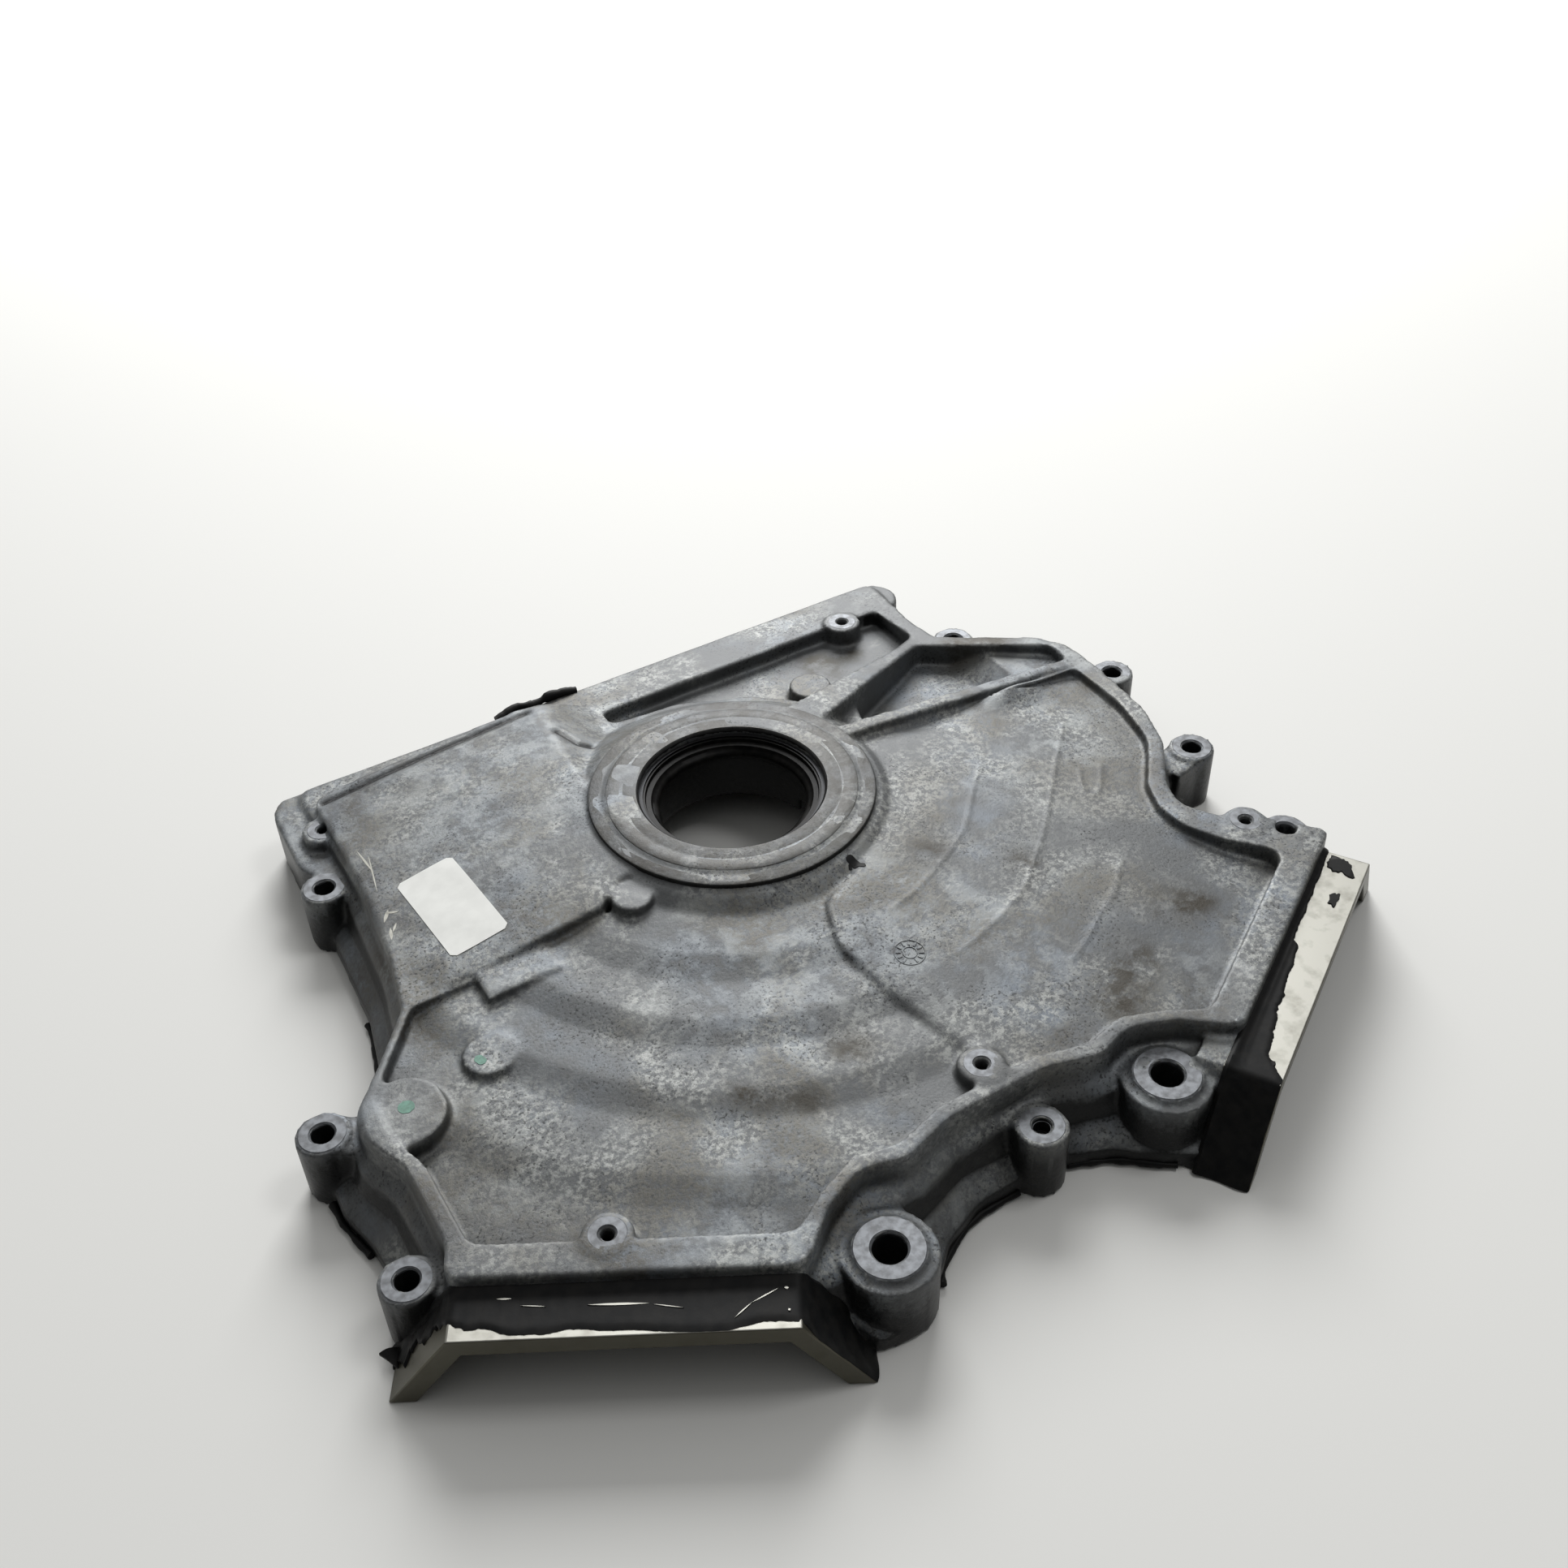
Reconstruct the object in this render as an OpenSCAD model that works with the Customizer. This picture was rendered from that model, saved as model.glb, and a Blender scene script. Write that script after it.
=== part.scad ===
// Timing cover of a vee engine: a die-cast front cover with its crankshaft seal, lying on its block face.
// The origin is the crankshaft axis on the block face. +Z points out of the engine and +Y to the vee.

/* [Engine] */
// Distance from the crankshaft axis to the deck edge of each bank
deck_distance = 226; // [222:1:232]
// Angle of each bank from the vertical
bank_angle = 30; // [29:0.5:31]
// Distance from the crankshaft axis down to the oil pan face
pan_drop = 128; // [124:1:134]

/* [Casting] */
// Height of the front rim over the block face
rim_h = 39; // [37:0.5:42]
// Height of the seal ring over the block face
ring_h = 52; // [50:0.5:56]
// Wall of the casting
wall = 5; // [4:0.5:6]
// Fall of the front rim towards the oil pan, per millimetre
pan_fall = 0.08; // [0.06:0.01:0.1]
// Height of the bolt bosses
boss_h = 28; // [26:0.5:30]

/* [Crankshaft seal] */
// Diameter of the seal bore in the casting
seal_bore_d = 78; // [74:0.5:82]
// Diameter of the sealing lip
lip_d = 62; // [58:0.5:66]
// Width of the seal along the shaft
seal_w = 10; // [8:0.5:12]
// Depth of the seal's face below the ring
seal_recess = 3; // [2:0.5:4]
// Diameter of the raised seal ring
ring_d = 120; // [116:1:124]

/* [Fastenings] */
// Diameter of the bolt clearance holes
bolt_hole_d = 8.5; // [8:0.1:9]
// Diameter of the two long stud holes in the vee
stud_hole_d = 12; // [11:0.5:13]
// Bore of the small tapped holes in the rim
small_tap_d = 5; // [4.8:0.1:5.4]
// Depth of the small tapped holes
small_tap_depth = 14; // [10:1:18]
// Bore of the tapped hole in the vee
vee_tap_d = 6.8; // [6.5:0.1:7]

/* [Bank spigots] */
// Length of each spigot past the deck edge
spigot_l = 19; // [16:1:22]
// Height of the spigots over the block face
spigot_h = 33; // [31:0.5:34]
// Wall of the spigots
spigot_wall = 7.5; // [6:0.5:8.5]

/* [Sealant] */
// Thickness of the sealant left on the spigots
film_t = 0.8; // [0.5:0.1:1.2]
// Width of the sealant bead squeezed out of the block joint
bead_w = 1.8; // [1.2:0.1:2.4]
// Height of that bead
bead_h = 3; // [2:0.5:5]

/* [Hidden] */
$fn = 96;
arc_steps = 4;
overlap = 1;
big = 500;

// Stock left on the block face, the oil pan face and the rim for milling
loft_stock = 1;
lip_stock = 2;
boss_stock = 3;
spigot_stock = 4;
cutter_foot = -8;
pan_edge = -pan_drop - loft_stock;

// Heights that follow from the driving ones
ring_r = ring_d / 2;
panel_top = ring_h - 3;
left_panel_top = panel_top - 2.5;
right_panel_top = panel_top - 5;
field_slope = 0.11;
left_slope = 0.095;
right_slope = 0.09;
window_floor = rim_h - 11;
pocket_floor = rim_h - 16;
low_ceiling = pocket_floor - wall - 1;
field_edge = 16 - pan_drop;
roof_ceiling = right_panel_top - wall;
seal_face = ring_h - seal_recess;

// Each bank's own directions: distance from the crankshaft axis, and place along the deck edge
function bank_point(side, distance, along) = [
    side * (distance * sin(bank_angle) + along * cos(bank_angle)),
    distance * cos(bank_angle) - along * sin(bank_angle)
];

function on_bank(side, below, along) = bank_point(side, deck_distance - below, along);
function at_bank(side, place) = on_bank(side, place[0], place[1]);

// Ends of the deck edges, and the ears that carry the upper bolts: distance below the edge, place along it
vee_end = -22;
right_end = 93;
left_end = 98;
right_ear_rim = [12.5, 93.8];
right_ear_flange = [13.6, 111.8];
right_ear_bolt = [8.1, 107.4];
right_ear_root = [14.5, 90.3];
left_ear_bolt = [16.2, 91.3];
left_ear_root = [15, 81.4];

// Outline corners: rim x, rim y, radius, flange x, flange y
function corner(rim, r, flange) = [rim[0], rim[1], r, flange[0], flange[1]];
function plain_corner(p, r) = corner(p, r, p);
vee_radii = [8, 10, 14, 12, 16];
vee_rim = [[6.2, -25.3], [22.2, -31], [36.8, -42.3], [40.5, -58.6], [55.7, -72.9]];
vee_flange = [[-8.7, -45.5], [-4.5, -56.8], [11.3, -66.2], [28.7, -72.3], [43.8, -84.4]];
function vee_side(side) = [for (i = [0 : len(vee_rim) - 1])
    corner(at_bank(side, vee_rim[i]), vee_radii[i], at_bank(side, vee_flange[i]))];
function reversed(list) = [for (i = [len(list) - 1 : -1 : 0]) list[i]];
right_side = [
    plain_corner([-155, pan_edge], 8),
    [150, pan_edge, 10, 164, pan_edge],
    [151, -45, 30, 165, -50],
    [155, 2, 30, 168, -2],
    [161, 31, 14, 174, 25],
    [177, 51, 16, 192, 46],
    [191, 67, 12, 208, 62],
    [194, 83, 12, 209, 82],
    [187, 101, 16, 205, 100],
    corner(at_bank(1, right_ear_rim), 10, at_bank(1, right_ear_flange)),
    plain_corner(bank_point(1, deck_distance, right_end), 5),
    plain_corner(bank_point(1, deck_distance, vee_end), 5)
];
left_side = [
    plain_corner(bank_point(-1, deck_distance, vee_end), 5),
    plain_corner(bank_point(-1, deck_distance, left_end), 3),
    [-165, 113, 10, -172, 114],
    [-158, 101, 14, -168, 102],
    [-163, 87, 14, -173, 90],
    [-181, 65, 20, -192, 70],
    [-190, 42, 30, -202, 45],
    [-193, 10, 30, -205, 10],
    [-195, -18, 10, -206, -18],
    [-188, -33, 8, -198, -38],
    [-150, -63, 4, -158, -70],
    [-149, -82, 20, -156, -86]
];
outline = concat(right_side, vee_side(1), reversed(vee_side(-1)), left_side);

// Wall section from the block face to the rim: height, and share of the way from rim to flange
wall_section = [
    [-loft_stock, 1],
    [7, 1],
    [10, 0.82],
    [14, 0.5],
    [19, 0.4],
    [24, 0.36],
    [27, 0.2],
    [29, 0.03],
    [rim_h + loft_stock, 0]
];

// Path helpers: a corner cut to an arc, a path with all its corners cut, and a path moved inwards
function unit(v) = v / norm(v);
function turn(a) = a > 180 ? a - 360 : a < -180 ? a + 360 : a;
function corner_arc(a, b, c, r) =
    let (
        u = unit(a - b),
        v = unit(c - b),
        half = acos(u * v) / 2,
        reach = min(r / tan(half), 0.48 * norm(a - b), 0.48 * norm(c - b)),
        radius = reach * tan(half),
        centre = b + unit(u + v) * radius / sin(half),
        from = b + u * reach - centre,
        to = b + v * reach - centre,
        start = atan2(from[1], from[0]),
        sweep = turn(atan2(to[1], to[0]) - start)
    )
    [for (k = [0 : arc_steps])
        let (a = start + sweep * k / arc_steps)
        centre + radius * [cos(a), sin(a)]];
function flat(p) = [p[0], p[1]];
function rounded(path) =
    let (n = len(path))
    [for (i = [0 : n - 1])
        each corner_arc(flat(path[(i + n - 1) % n]), flat(path[i]), flat(path[(i + 1) % n]), path[i][2])];
function at_share(share) = [for (c = outline) [
    c[0] + share * (c[3] - c[0]),
    c[1] + share * (c[4] - c[1]),
    c[2]
]];
function moved_in(path, distance) =
    let (n = len(path))
    [for (i = [0 : n - 1])
        let (
            b = flat(path[i]),
            u = unit(b - flat(path[(i + n - 1) % n])),
            v = unit(flat(path[(i + 1) % n]) - b),
            left_u = [-u[1], u[0]],
            left_v = [-v[1], v[0]],
            shift = (left_u + left_v) / (1 + left_u * left_v) * distance,
            bend = u[0] * v[1] - u[1] * v[0] > 0 ? -distance : distance
        )
        [b[0] + shift[0], b[1] + shift[1], max(1, path[i][2] + bend)]];

// Solid between rings of equal point counts, listed from the bottom up
module loft(rings) {
    n = len(rings[0]);
    last = len(rings) - 1;
    sides = [for (k = [0 : last - 1], i = [0 : n - 1])
        let (j = (i + 1) % n)
        [k * n + i, (k + 1) * n + i, (k + 1) * n + j, k * n + j]];
    bottom = [for (i = [0 : n - 1]) i];
    top = [for (i = [n - 1 : -1 : 0]) last * n + i];
    polyhedron(points = [for (ring = rings) each ring], faces = concat([bottom], sides, [top]));
}

module shell_blank() {
    loft([for (s = wall_section) [for (p = rounded(at_share(s[1]))) [p[0], p[1], s[0]]]]);
}

// Prism over a rounded outline
module plate(path, from, to) {
    translate([0, 0, from]) linear_extrude(to - from) polygon(rounded(path));
}

// Profiles that fall away from the seal ring: an even cone, and a cone broken into terraces
panel_reach = 260;
terraces = [96, 126, 157, 192];
terrace_run = 12;
terrace_drop = 2.4;
function fall(top, slope, r) = top - slope * (r - ring_r);
function cone_profile(top, slope) = [
    [ring_r, top],
    [panel_reach, fall(top, slope, panel_reach)]
];
function terrace_profile(top, slope) = concat(
    [[ring_r, top]],
    [for (r = terraces, step = [-0.5, 0.5])
        [r + step * terrace_run, fall(top, slope, r) - step * terrace_drop]],
    [[panel_reach, fall(top, slope, panel_reach)]]
);

// Solid of revolution under such a profile
module under(profile) {
    foot = cutter_foot - overlap;
    rotate_extrude() polygon(concat(
        [[0, foot], [panel_reach, foot]],
        reversed(profile),
        [[0, profile[0][1]]]
    ));
}

// Space over the front rim, which is level over the banks and falls towards the oil pan
module rim_cut() {
    depth = 2 * pan_drop;
    rotate([90, 0, -90]) translate([0, 0, -big / 2]) linear_extrude(big) polygon([
        [-big, rim_h],
        [-big, big],
        [depth, big],
        [depth, rim_h - pan_fall * depth],
        [0, rim_h]
    ]);
}

// Panel inside the rim
panel_edge = deck_distance - 13;
panel_lap = 3.5;
deck_lap = 5;
panel_vee_end = vee_end + 2;
right_panel_end = right_end - 7;
left_panel_end = left_end - 22;
function with_radius(p, r) = [p[0], p[1], r];
panel_vee_radii = [8, 12, 12, 16];
panel_vee_edge = [[27.4, -28], [42, -39.3], [47, -56], [62.7, -71.2]];
function panel_vee(side, lap = 0) = [for (i = [0 : len(panel_vee_edge) - 1])
    with_radius(at_bank(side, panel_vee_edge[i] - [lap, 0]), panel_vee_radii[i])];
vee_floor = at_bank(1, panel_vee_edge[3])[1];
panel_window = concat(
    [
        [-184, 0, 3],
        [0, 0, 1],
        [66, 33, 1],
        [158, 33, 4],
        [175, 54, 12],
        [186, 68, 8],
        [187, 86, 10],
        [181, 102, 12],
        with_radius(bank_point(1, panel_edge, right_panel_end), 8),
        with_radius(bank_point(1, panel_edge, panel_vee_end), 8)
    ],
    panel_vee(1),
    reversed(panel_vee(-1)),
    [
        with_radius(bank_point(-1, panel_edge, panel_vee_end), 8),
        with_radius(bank_point(-1, panel_edge, left_panel_end), 6),
        [-157, 127, 10],
        [-150, 112, 14],
        [-149, 98, 12],
        [-155, 84, 12],
        [-176, 60, 25],
        [-183, 34, 20]
    ]
);
// The left panel stands a little higher than the right one, up to this edge
left_panel = concat(
    [
        [-188, -3, 1],
        [-40, -3, 1],
        [-30, 60, 6],
        [-16, 68, 6],
        [1, 74, 10],
        [9, 96, 16],
        [5, 124, 20],
        [-5, vee_floor - 15, 8],
        [-8, vee_floor + 2, 4]
    ],
    reversed(panel_vee(-1, panel_lap)),
    [
        with_radius(bank_point(-1, panel_edge + deck_lap, panel_vee_end), 4),
        with_radius(bank_point(-1, panel_edge + deck_lap, left_panel_end + deck_lap), 4),
        [-160, 128, 10],
        [-153, 112, 14],
        [-152, 98, 12],
        [-158, 86, 12],
        [-179, 62, 25],
        [-187, 34, 20]
    ]
);
right_panel = concat(
    [
        [-40, -3, 1],
        [66, 31, 1],
        [162, 31, 4],
        [180, 54, 12],
        [191, 70, 8],
        [190, 88, 10],
        [184, 102, 12],
        with_radius(bank_point(1, panel_edge + deck_lap, right_panel_end), 4),
        with_radius(bank_point(1, panel_edge + deck_lap, panel_vee_end), 4)
    ],
    panel_vee(1, panel_lap),
    [
        [-20, vee_floor + 2, 8],
        [-40, 120, 20]
    ]
);
// Raised field beside the seal ring, towards the oil pan
side_field = [
    [14, field_edge, 3],
    [148, field_edge, 8],
    [150, -45, 20],
    [154, 2, 20],
    [160, 30, 5],
    [77, 31, 3],
    [66, 22, 6],
    [40, 20, 3]
];

module front_panel(path, profile) {
    intersection() {
        plate(path, window_floor - overlap, ring_h);
        under(profile);
    }
}

// Ramp by which the side field falls to the oil pan rail, beside the lower pocket: x and height of its ends
ramp_foot = [14, rim_h - 9];
ramp_head = [47, ring_h - 5];

module over_ramp() {
    slope = (ramp_head[1] - ramp_foot[1]) / (ramp_head[0] - ramp_foot[0]);
    reach = 40 * [1, slope];
    low = ramp_foot - reach;
    high = ramp_head + reach;
    rotate([90, 0, 0])
        translate([0, 0, -big / 2])
            linear_extrude(big) polygon([low, high, [low[0], high[1]]]);
}

module side_panel() {
    difference() {
        front_panel(side_field, cone_profile(panel_top, field_slope));
        over_ramp();
    }
}

// Pockets between the ribs on the oil pan side
upper_pocket = [
    [-186, -8, 5],
    [-78, -12, 4],
    [-86, -36.3, 6],
    [-138, -61.7, 4],
    [-188, -23, 5]
];
lower_pocket = [
    [-141, -71, 4],
    [-74, -47, 4],
    [-52, -72, 12],
    [-20, -88, 16],
    [12, -92, 4],
    [12, -103, 4],
    [-141, -103, 4]
];
// The floor of the upper pocket climbs to a ledge at its far end
ledge_foot = -150;
ledge_run = 14;
ledge_rise = 8;

module upper_pocket_cut() {
    difference() {
        plate(upper_pocket, pocket_floor, big);
        rotate([90, 0, 0]) translate([0, 0, -big / 2]) linear_extrude(big) polygon([
            [ledge_foot + ledge_run, pocket_floor - ledge_rise],
            [ledge_foot - ledge_run, pocket_floor + ledge_rise],
            [-big, pocket_floor + ledge_rise],
            [-big, pocket_floor - ledge_rise]
        ]);
    }
}

upper_rib_top = panel_top + 1.5;
upper_rib_slope = 0.09;
upper_rib = [
    [-190, -8, 1],
    [-50, -12, 1],
    [-50, -4, 1],
    [-190, -2, 1]
];
lower_rib_slope = 0.16;
lower_rib = [
    [-146, -70, 2],
    [-50, -38, 2],
    [-50, -18, 2],
    [-142, -63, 2]
];

// Bosses: x, y, height, radius, and the wall point that the web runs to
function boss_at(p, h, r, root) = [p[0], p[1], h, r, root];
bolt_boss_r = 10;
stud_boss_r = 17;
bolt_bosses = [
    boss_at(at_bank(1, right_ear_bolt), boss_h, bolt_boss_r, at_bank(1, right_ear_root)),
    boss_at([205, 62], boss_h, bolt_boss_r, [186, 72]),
    boss_at([161, -62], boss_h, bolt_boss_r, [146, -62]),
    boss_at(at_bank(-1, left_ear_bolt), rim_h - 1.5, bolt_boss_r, at_bank(-1, left_ear_root)),
    boss_at([-199, 65], boss_h, bolt_boss_r, [-180, 68]),
    boss_at([-207, 1], boss_h, bolt_boss_r, [-188, 2]),
    boss_at([-163, -66], boss_h - 2, bolt_boss_r, [-152, -58])
];
stud_bosses = [
    boss_at(on_bank(1, 11.3, -50.1), boss_h, stud_boss_r, on_bank(1, 38.1, -34.6)),
    boss_at(on_bank(-1, 18.8, -49.2), boss_h, stud_boss_r, on_bank(-1, 39.6, -37.2))
];
stud_pad_d = 26;
stud_pad_h = 2;
web_share = 0.85;
web_drop = 1.5;
vee_boss = boss_at([-10, vee_floor + 20], boss_h, bolt_boss_r, [-8, vee_floor + 3]);
small_boss_top = rim_h + 0.5;
small_bosses = [
    [150, -92, 33],
    [-121, -102, 32],
    [-173, 124, small_boss_top],
    [-3, vee_floor - 6.5, small_boss_top],
    concat(on_bank(1, 14.5, 41.3), small_boss_top)
];
small_boss_r = 9;
small_boss_floor = 4;
// Raised ends of the oil pan rail: a wide lip at the right corner and a round lobe at the left one
pan_lip_h = rim_h - 11.5;
pan_lip = [
    [130, -pan_drop - lip_stock, 1],
    [164, -pan_drop - lip_stock, 14],
    [166, -80, 20],
    [156, -62, 6],
    [130, -62, 1]
];
pan_lobe_r = 12.5;
pan_lobe = [-149, 11 - pan_drop, pan_lobe_r];

module boss(b) {
    reach = norm([b[4][0] - b[0], b[4][1] - b[1]]);
    bearing = atan2(b[4][1] - b[1], b[4][0] - b[0]);
    half = web_share * b[3];
    translate([b[0], b[1], -boss_stock]) {
        cylinder(h = b[2] + boss_stock, r = b[3]);
        rotate([0, 0, bearing])
            translate([0, -half, 0])
                cube([reach, 2 * half, b[2] + boss_stock - web_drop]);
    }
}

module hole(b, d) {
    translate([b[0], b[1], cutter_foot]) cylinder(h = rim_h + overlap - cutter_foot, d = d);
}

module small_boss(b) {
    depth = small_tap_depth + small_boss_floor;
    translate([b[0], b[1], b[2] - depth]) cylinder(h = depth, r = small_boss_r);
}

module stud_pad(b) {
    translate([b[0], b[1], boss_h - overlap]) cylinder(h = stud_pad_h + overlap, d = stud_pad_d);
}

module small_hole(b) {
    translate([b[0], b[1], b[2] - small_tap_depth])
        cylinder(h = small_tap_depth + overlap, d = small_tap_d);
}

// Section of a spigot across its bank: start and end of its foot, and a margin inwards
spigot_lean = 23.5;
spigot_root = 12;
right_spigot = [-44, 114];
left_spigot = [-63, 114];
function spigot_section(span, margin, foot = 0) =
    let (
        lean = spigot_lean / spigot_h,
        side = margin * (sqrt(1 + lean * lean)),
        top = spigot_h - margin
    )
    [
        [span[0] + side - lean * foot, -foot],
        [span[0] + side + lean * top, top],
        [span[1] - side - lean * top, top],
        [span[1] - side + lean * foot, -foot]
    ];

// Prism of a bank section between two distances from the crankshaft axis
module bank_prism(side, section, from, to) {
    mirror([side < 0 ? 1 : 0, 0, 0])
        rotate([0, 0, -bank_angle])
            translate([0, from, 0])
                mirror([0, 1, 0]) rotate([90, 0, 0]) linear_extrude(to - from) polygon(section);
}

module spigots() {
    from = deck_distance - spigot_root;
    to = deck_distance + spigot_l;
    bank_prism(1, spigot_section(right_spigot, 0, spigot_stock), from, to);
    bank_prism(-1, spigot_section(left_spigot, 0, spigot_stock), from, to);
}

module bank_mouths() {
    mouth_depth = 26;
    from = deck_distance - mouth_depth;
    to = deck_distance + spigot_l + overlap;
    bank_prism(1, spigot_section(right_spigot, spigot_wall, -cutter_foot), from, to);
    bank_prism(-1, spigot_section(left_spigot, spigot_wall, -cutter_foot), from, to);
}

// Hollow inside: tall under the panels and the side field, low under the pockets
module cavity() {
    inner = moved_in(at_share(0), wall);
    fence = 6;
    field_from = 50;
    field_low = 106;
    intersection() {
        plate(inner, cutter_foot, ring_h);
        under(cone_profile(roof_ceiling, right_slope));
        union() {
            translate([-big / 2, -fence, -big / 2]) cube(big);
            translate([field_from, -field_low, -big / 2]) cube([big, field_low, big]);
        }
    }
    plate(inner, cutter_foot + overlap, low_ceiling);
}

module seal_ring() {
    hub_from = 24;
    land = 7;
    step = 1;
    foot_spread = 32;
    top_spread = 3;
    translate([0, 0, hub_from]) {
        cylinder(h = ring_h - step - hub_from, r = ring_r);
        cylinder(h = ring_h - hub_from, r = ring_r - land);
    }
    translate([0, 0, window_floor])
        cylinder(h = panel_top - step - window_floor, r1 = ring_r + foot_spread, r2 = ring_r + top_spread);
}

module seal_bore() {
    stop_d = seal_bore_d - 6;
    chamfer = 1;
    translate([0, 0, seal_face - seal_w]) cylinder(h = seal_w + seal_recess + overlap, d = seal_bore_d);
    translate([0, 0, cutter_foot]) cylinder(h = ring_h, d = stop_d);
    translate([0, 0, ring_h - chamfer])
        cylinder(h = chamfer + 0.01, d1 = seal_bore_d, d2 = seal_bore_d + 2 * chamfer);
}

// Pads cast on the panels and in the lower pocket: x, y, radius, foot and top
panel_pads = [
    [179, 77, 16, window_floor, rim_h - 1],
    [142, 68, 10, window_floor, rim_h - 2],
    [64, 32, 8.5, window_floor, ring_h - 5]
];
pocket_pad = [-81, -68, 10, pocket_floor - overlap, pocket_floor + 7];
square_pad = [102, 28];
square_pad_size = [30, 18];
square_pad_top = rim_h + 1.5;

module round_pad(p) {
    translate([p[0], p[1], p[3]]) cylinder(h = p[4] - p[3], r = p[2]);
}

module pads() {
    for (p = panel_pads) round_pad(p);
    translate([square_pad[0], square_pad[1], window_floor])
        cube([square_pad_size[0], square_pad_size[1], square_pad_top - window_floor]);
}

// Space outside the milled faces: under the block face and past the oil pan face
module milling() {
    translate([-big / 2, -big / 2, -big]) cube(big);
    translate([-big / 2, -pan_drop - big, -big / 2]) cube(big);
}

module outer_form() {
    difference() {
        shell_blank();
        rim_cut();
        plate(panel_window, window_floor, big);
    }
    front_panel(left_panel, cone_profile(left_panel_top, left_slope));
    front_panel(right_panel, terrace_profile(right_panel_top, right_slope));
    side_panel();
    front_panel(upper_rib, cone_profile(upper_rib_top, upper_rib_slope));
    front_panel(lower_rib, cone_profile(panel_top, lower_rib_slope));
    plate(pan_lip, -lip_stock, pan_lip_h);
    translate([pan_lobe[0], pan_lobe[1], -lip_stock]) cylinder(h = pan_lip_h + lip_stock, r = pan_lobe[2]);
    pads();
}

module cover_casting() {
    color("#8f9296")
    difference() {
        union() {
            difference() {
                union() {
                    outer_form();
                    spigots();
                }
                upper_pocket_cut();
                plate(lower_pocket, pocket_floor, big);
                cavity();
                bank_mouths();
            }
            seal_ring();
            round_pad(pocket_pad);
            all_bosses();
            for (b = small_bosses) small_boss(b);
            for (b = stud_bosses) stud_pad(b);
        }
        milling();
        seal_bore();
        for (b = bolt_bosses) hole(b, bolt_hole_d);
        for (b = stud_bosses) hole(b, stud_hole_d);
        hole(vee_boss, vee_tap_d);
        for (b = small_bosses) small_hole(b);
    }
}

// Steel case of the seal, an open channel pressed into the bore
seal_sheet = 1.5;

module seal_case() {
    web = 3;
    outer = seal_bore_d / 2;
    inner = outer - seal_sheet;
    color("#3a3c3f")
    translate([0, 0, seal_face - seal_w]) rotate_extrude() polygon([
        [outer, 0],
        [outer, seal_w],
        [inner, seal_w],
        [inner, seal_sheet],
        [inner - web, seal_sheet],
        [inner - web, 0]
    ]);
}

// Rubber lip of the seal, seated in its case
module seal_lip() {
    outer = seal_bore_d / 2 - seal_sheet;
    lip = lip_d / 2;
    top = seal_w - 0.8;
    heel = 2.5;
    edge = 1.5;
    bevel = 2;
    color("#141414")
    translate([0, 0, seal_face - seal_w]) rotate_extrude() polygon([
        [outer, seal_sheet],
        [outer, top],
        [outer - heel, top],
        [lip + bevel, seal_sheet + 2 * edge],
        [lip, seal_sheet + edge],
        [lip, seal_sheet]
    ]);
}

// Black sealant squeezed out of the block joint along the flange's edge
module flange_sealant() {
    flange = at_share(1);
    right_run = [3, 8];
    vee_run = [14, 19];
    color("#1b1b1c")
    difference() {
        union() {
            bead_strip(flange, right_run);
            bead_strip(flange, vee_run);
        }
        all_bosses();
    }
}

module all_bosses() {
    for (b = concat(bolt_bosses, stud_bosses, [vee_boss])) boss(b);
}

module bead_strip(path, run) {
    inner = rounded(path);
    outer = rounded(moved_in(path, -bead_w));
    per_corner = arc_steps + 1;
    first = run[0] * per_corner;
    last = run[1] * per_corner - 1;
    linear_extrude(bead_h) polygon(concat(
        [for (i = [first : last]) inner[i]],
        [for (i = [last : -1 : first]) outer[i]]
    ));
}

// Film of sealant left on a spigot, from the deck edge outwards. The right one leaves the end bare,
// and the left one is a strip beside the deck edge.
flange_reach = 20;
right_film_end = 4;
left_film_l = 6;

module spigot_film(side, span, length) {
    to = deck_distance + length;
    color("#1f2021")
    difference() {
        bank_prism(side, spigot_section(span, -film_t), deck_distance, to);
        bank_prism(side, spigot_section(span, 0), deck_distance - overlap, to + overlap);
        plate(at_share(1), -overlap, flange_reach);
        all_bosses();
    }
}

module right_bank_sealant() {
    spigot_film(1, right_spigot, spigot_l - right_film_end);
}

module left_bank_sealant() {
    spigot_film(-1, left_spigot, left_film_l);
}

cover_casting();
seal_case();
seal_lip();
flange_sealant();
left_bank_sealant();
right_bank_sealant();
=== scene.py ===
# %% [markdown]
# # A used timing cover
# The front cover of a vee engine lies on its block face. It is one die casting in aluminium, with a shaft
# seal in its bore and torn black sealant on the two spigots that reach under the cylinder heads.
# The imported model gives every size, so this lesson only dresses it: it softens the casting's edges as a
# die does, adds the machined faces, the sealant and the dirt, and lights it as in a studio.

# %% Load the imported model
import math

import bmesh
import bpy
import numpy as np
from mathutils import Matrix, Vector
from mathutils.bvhtree import BVHTree


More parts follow.
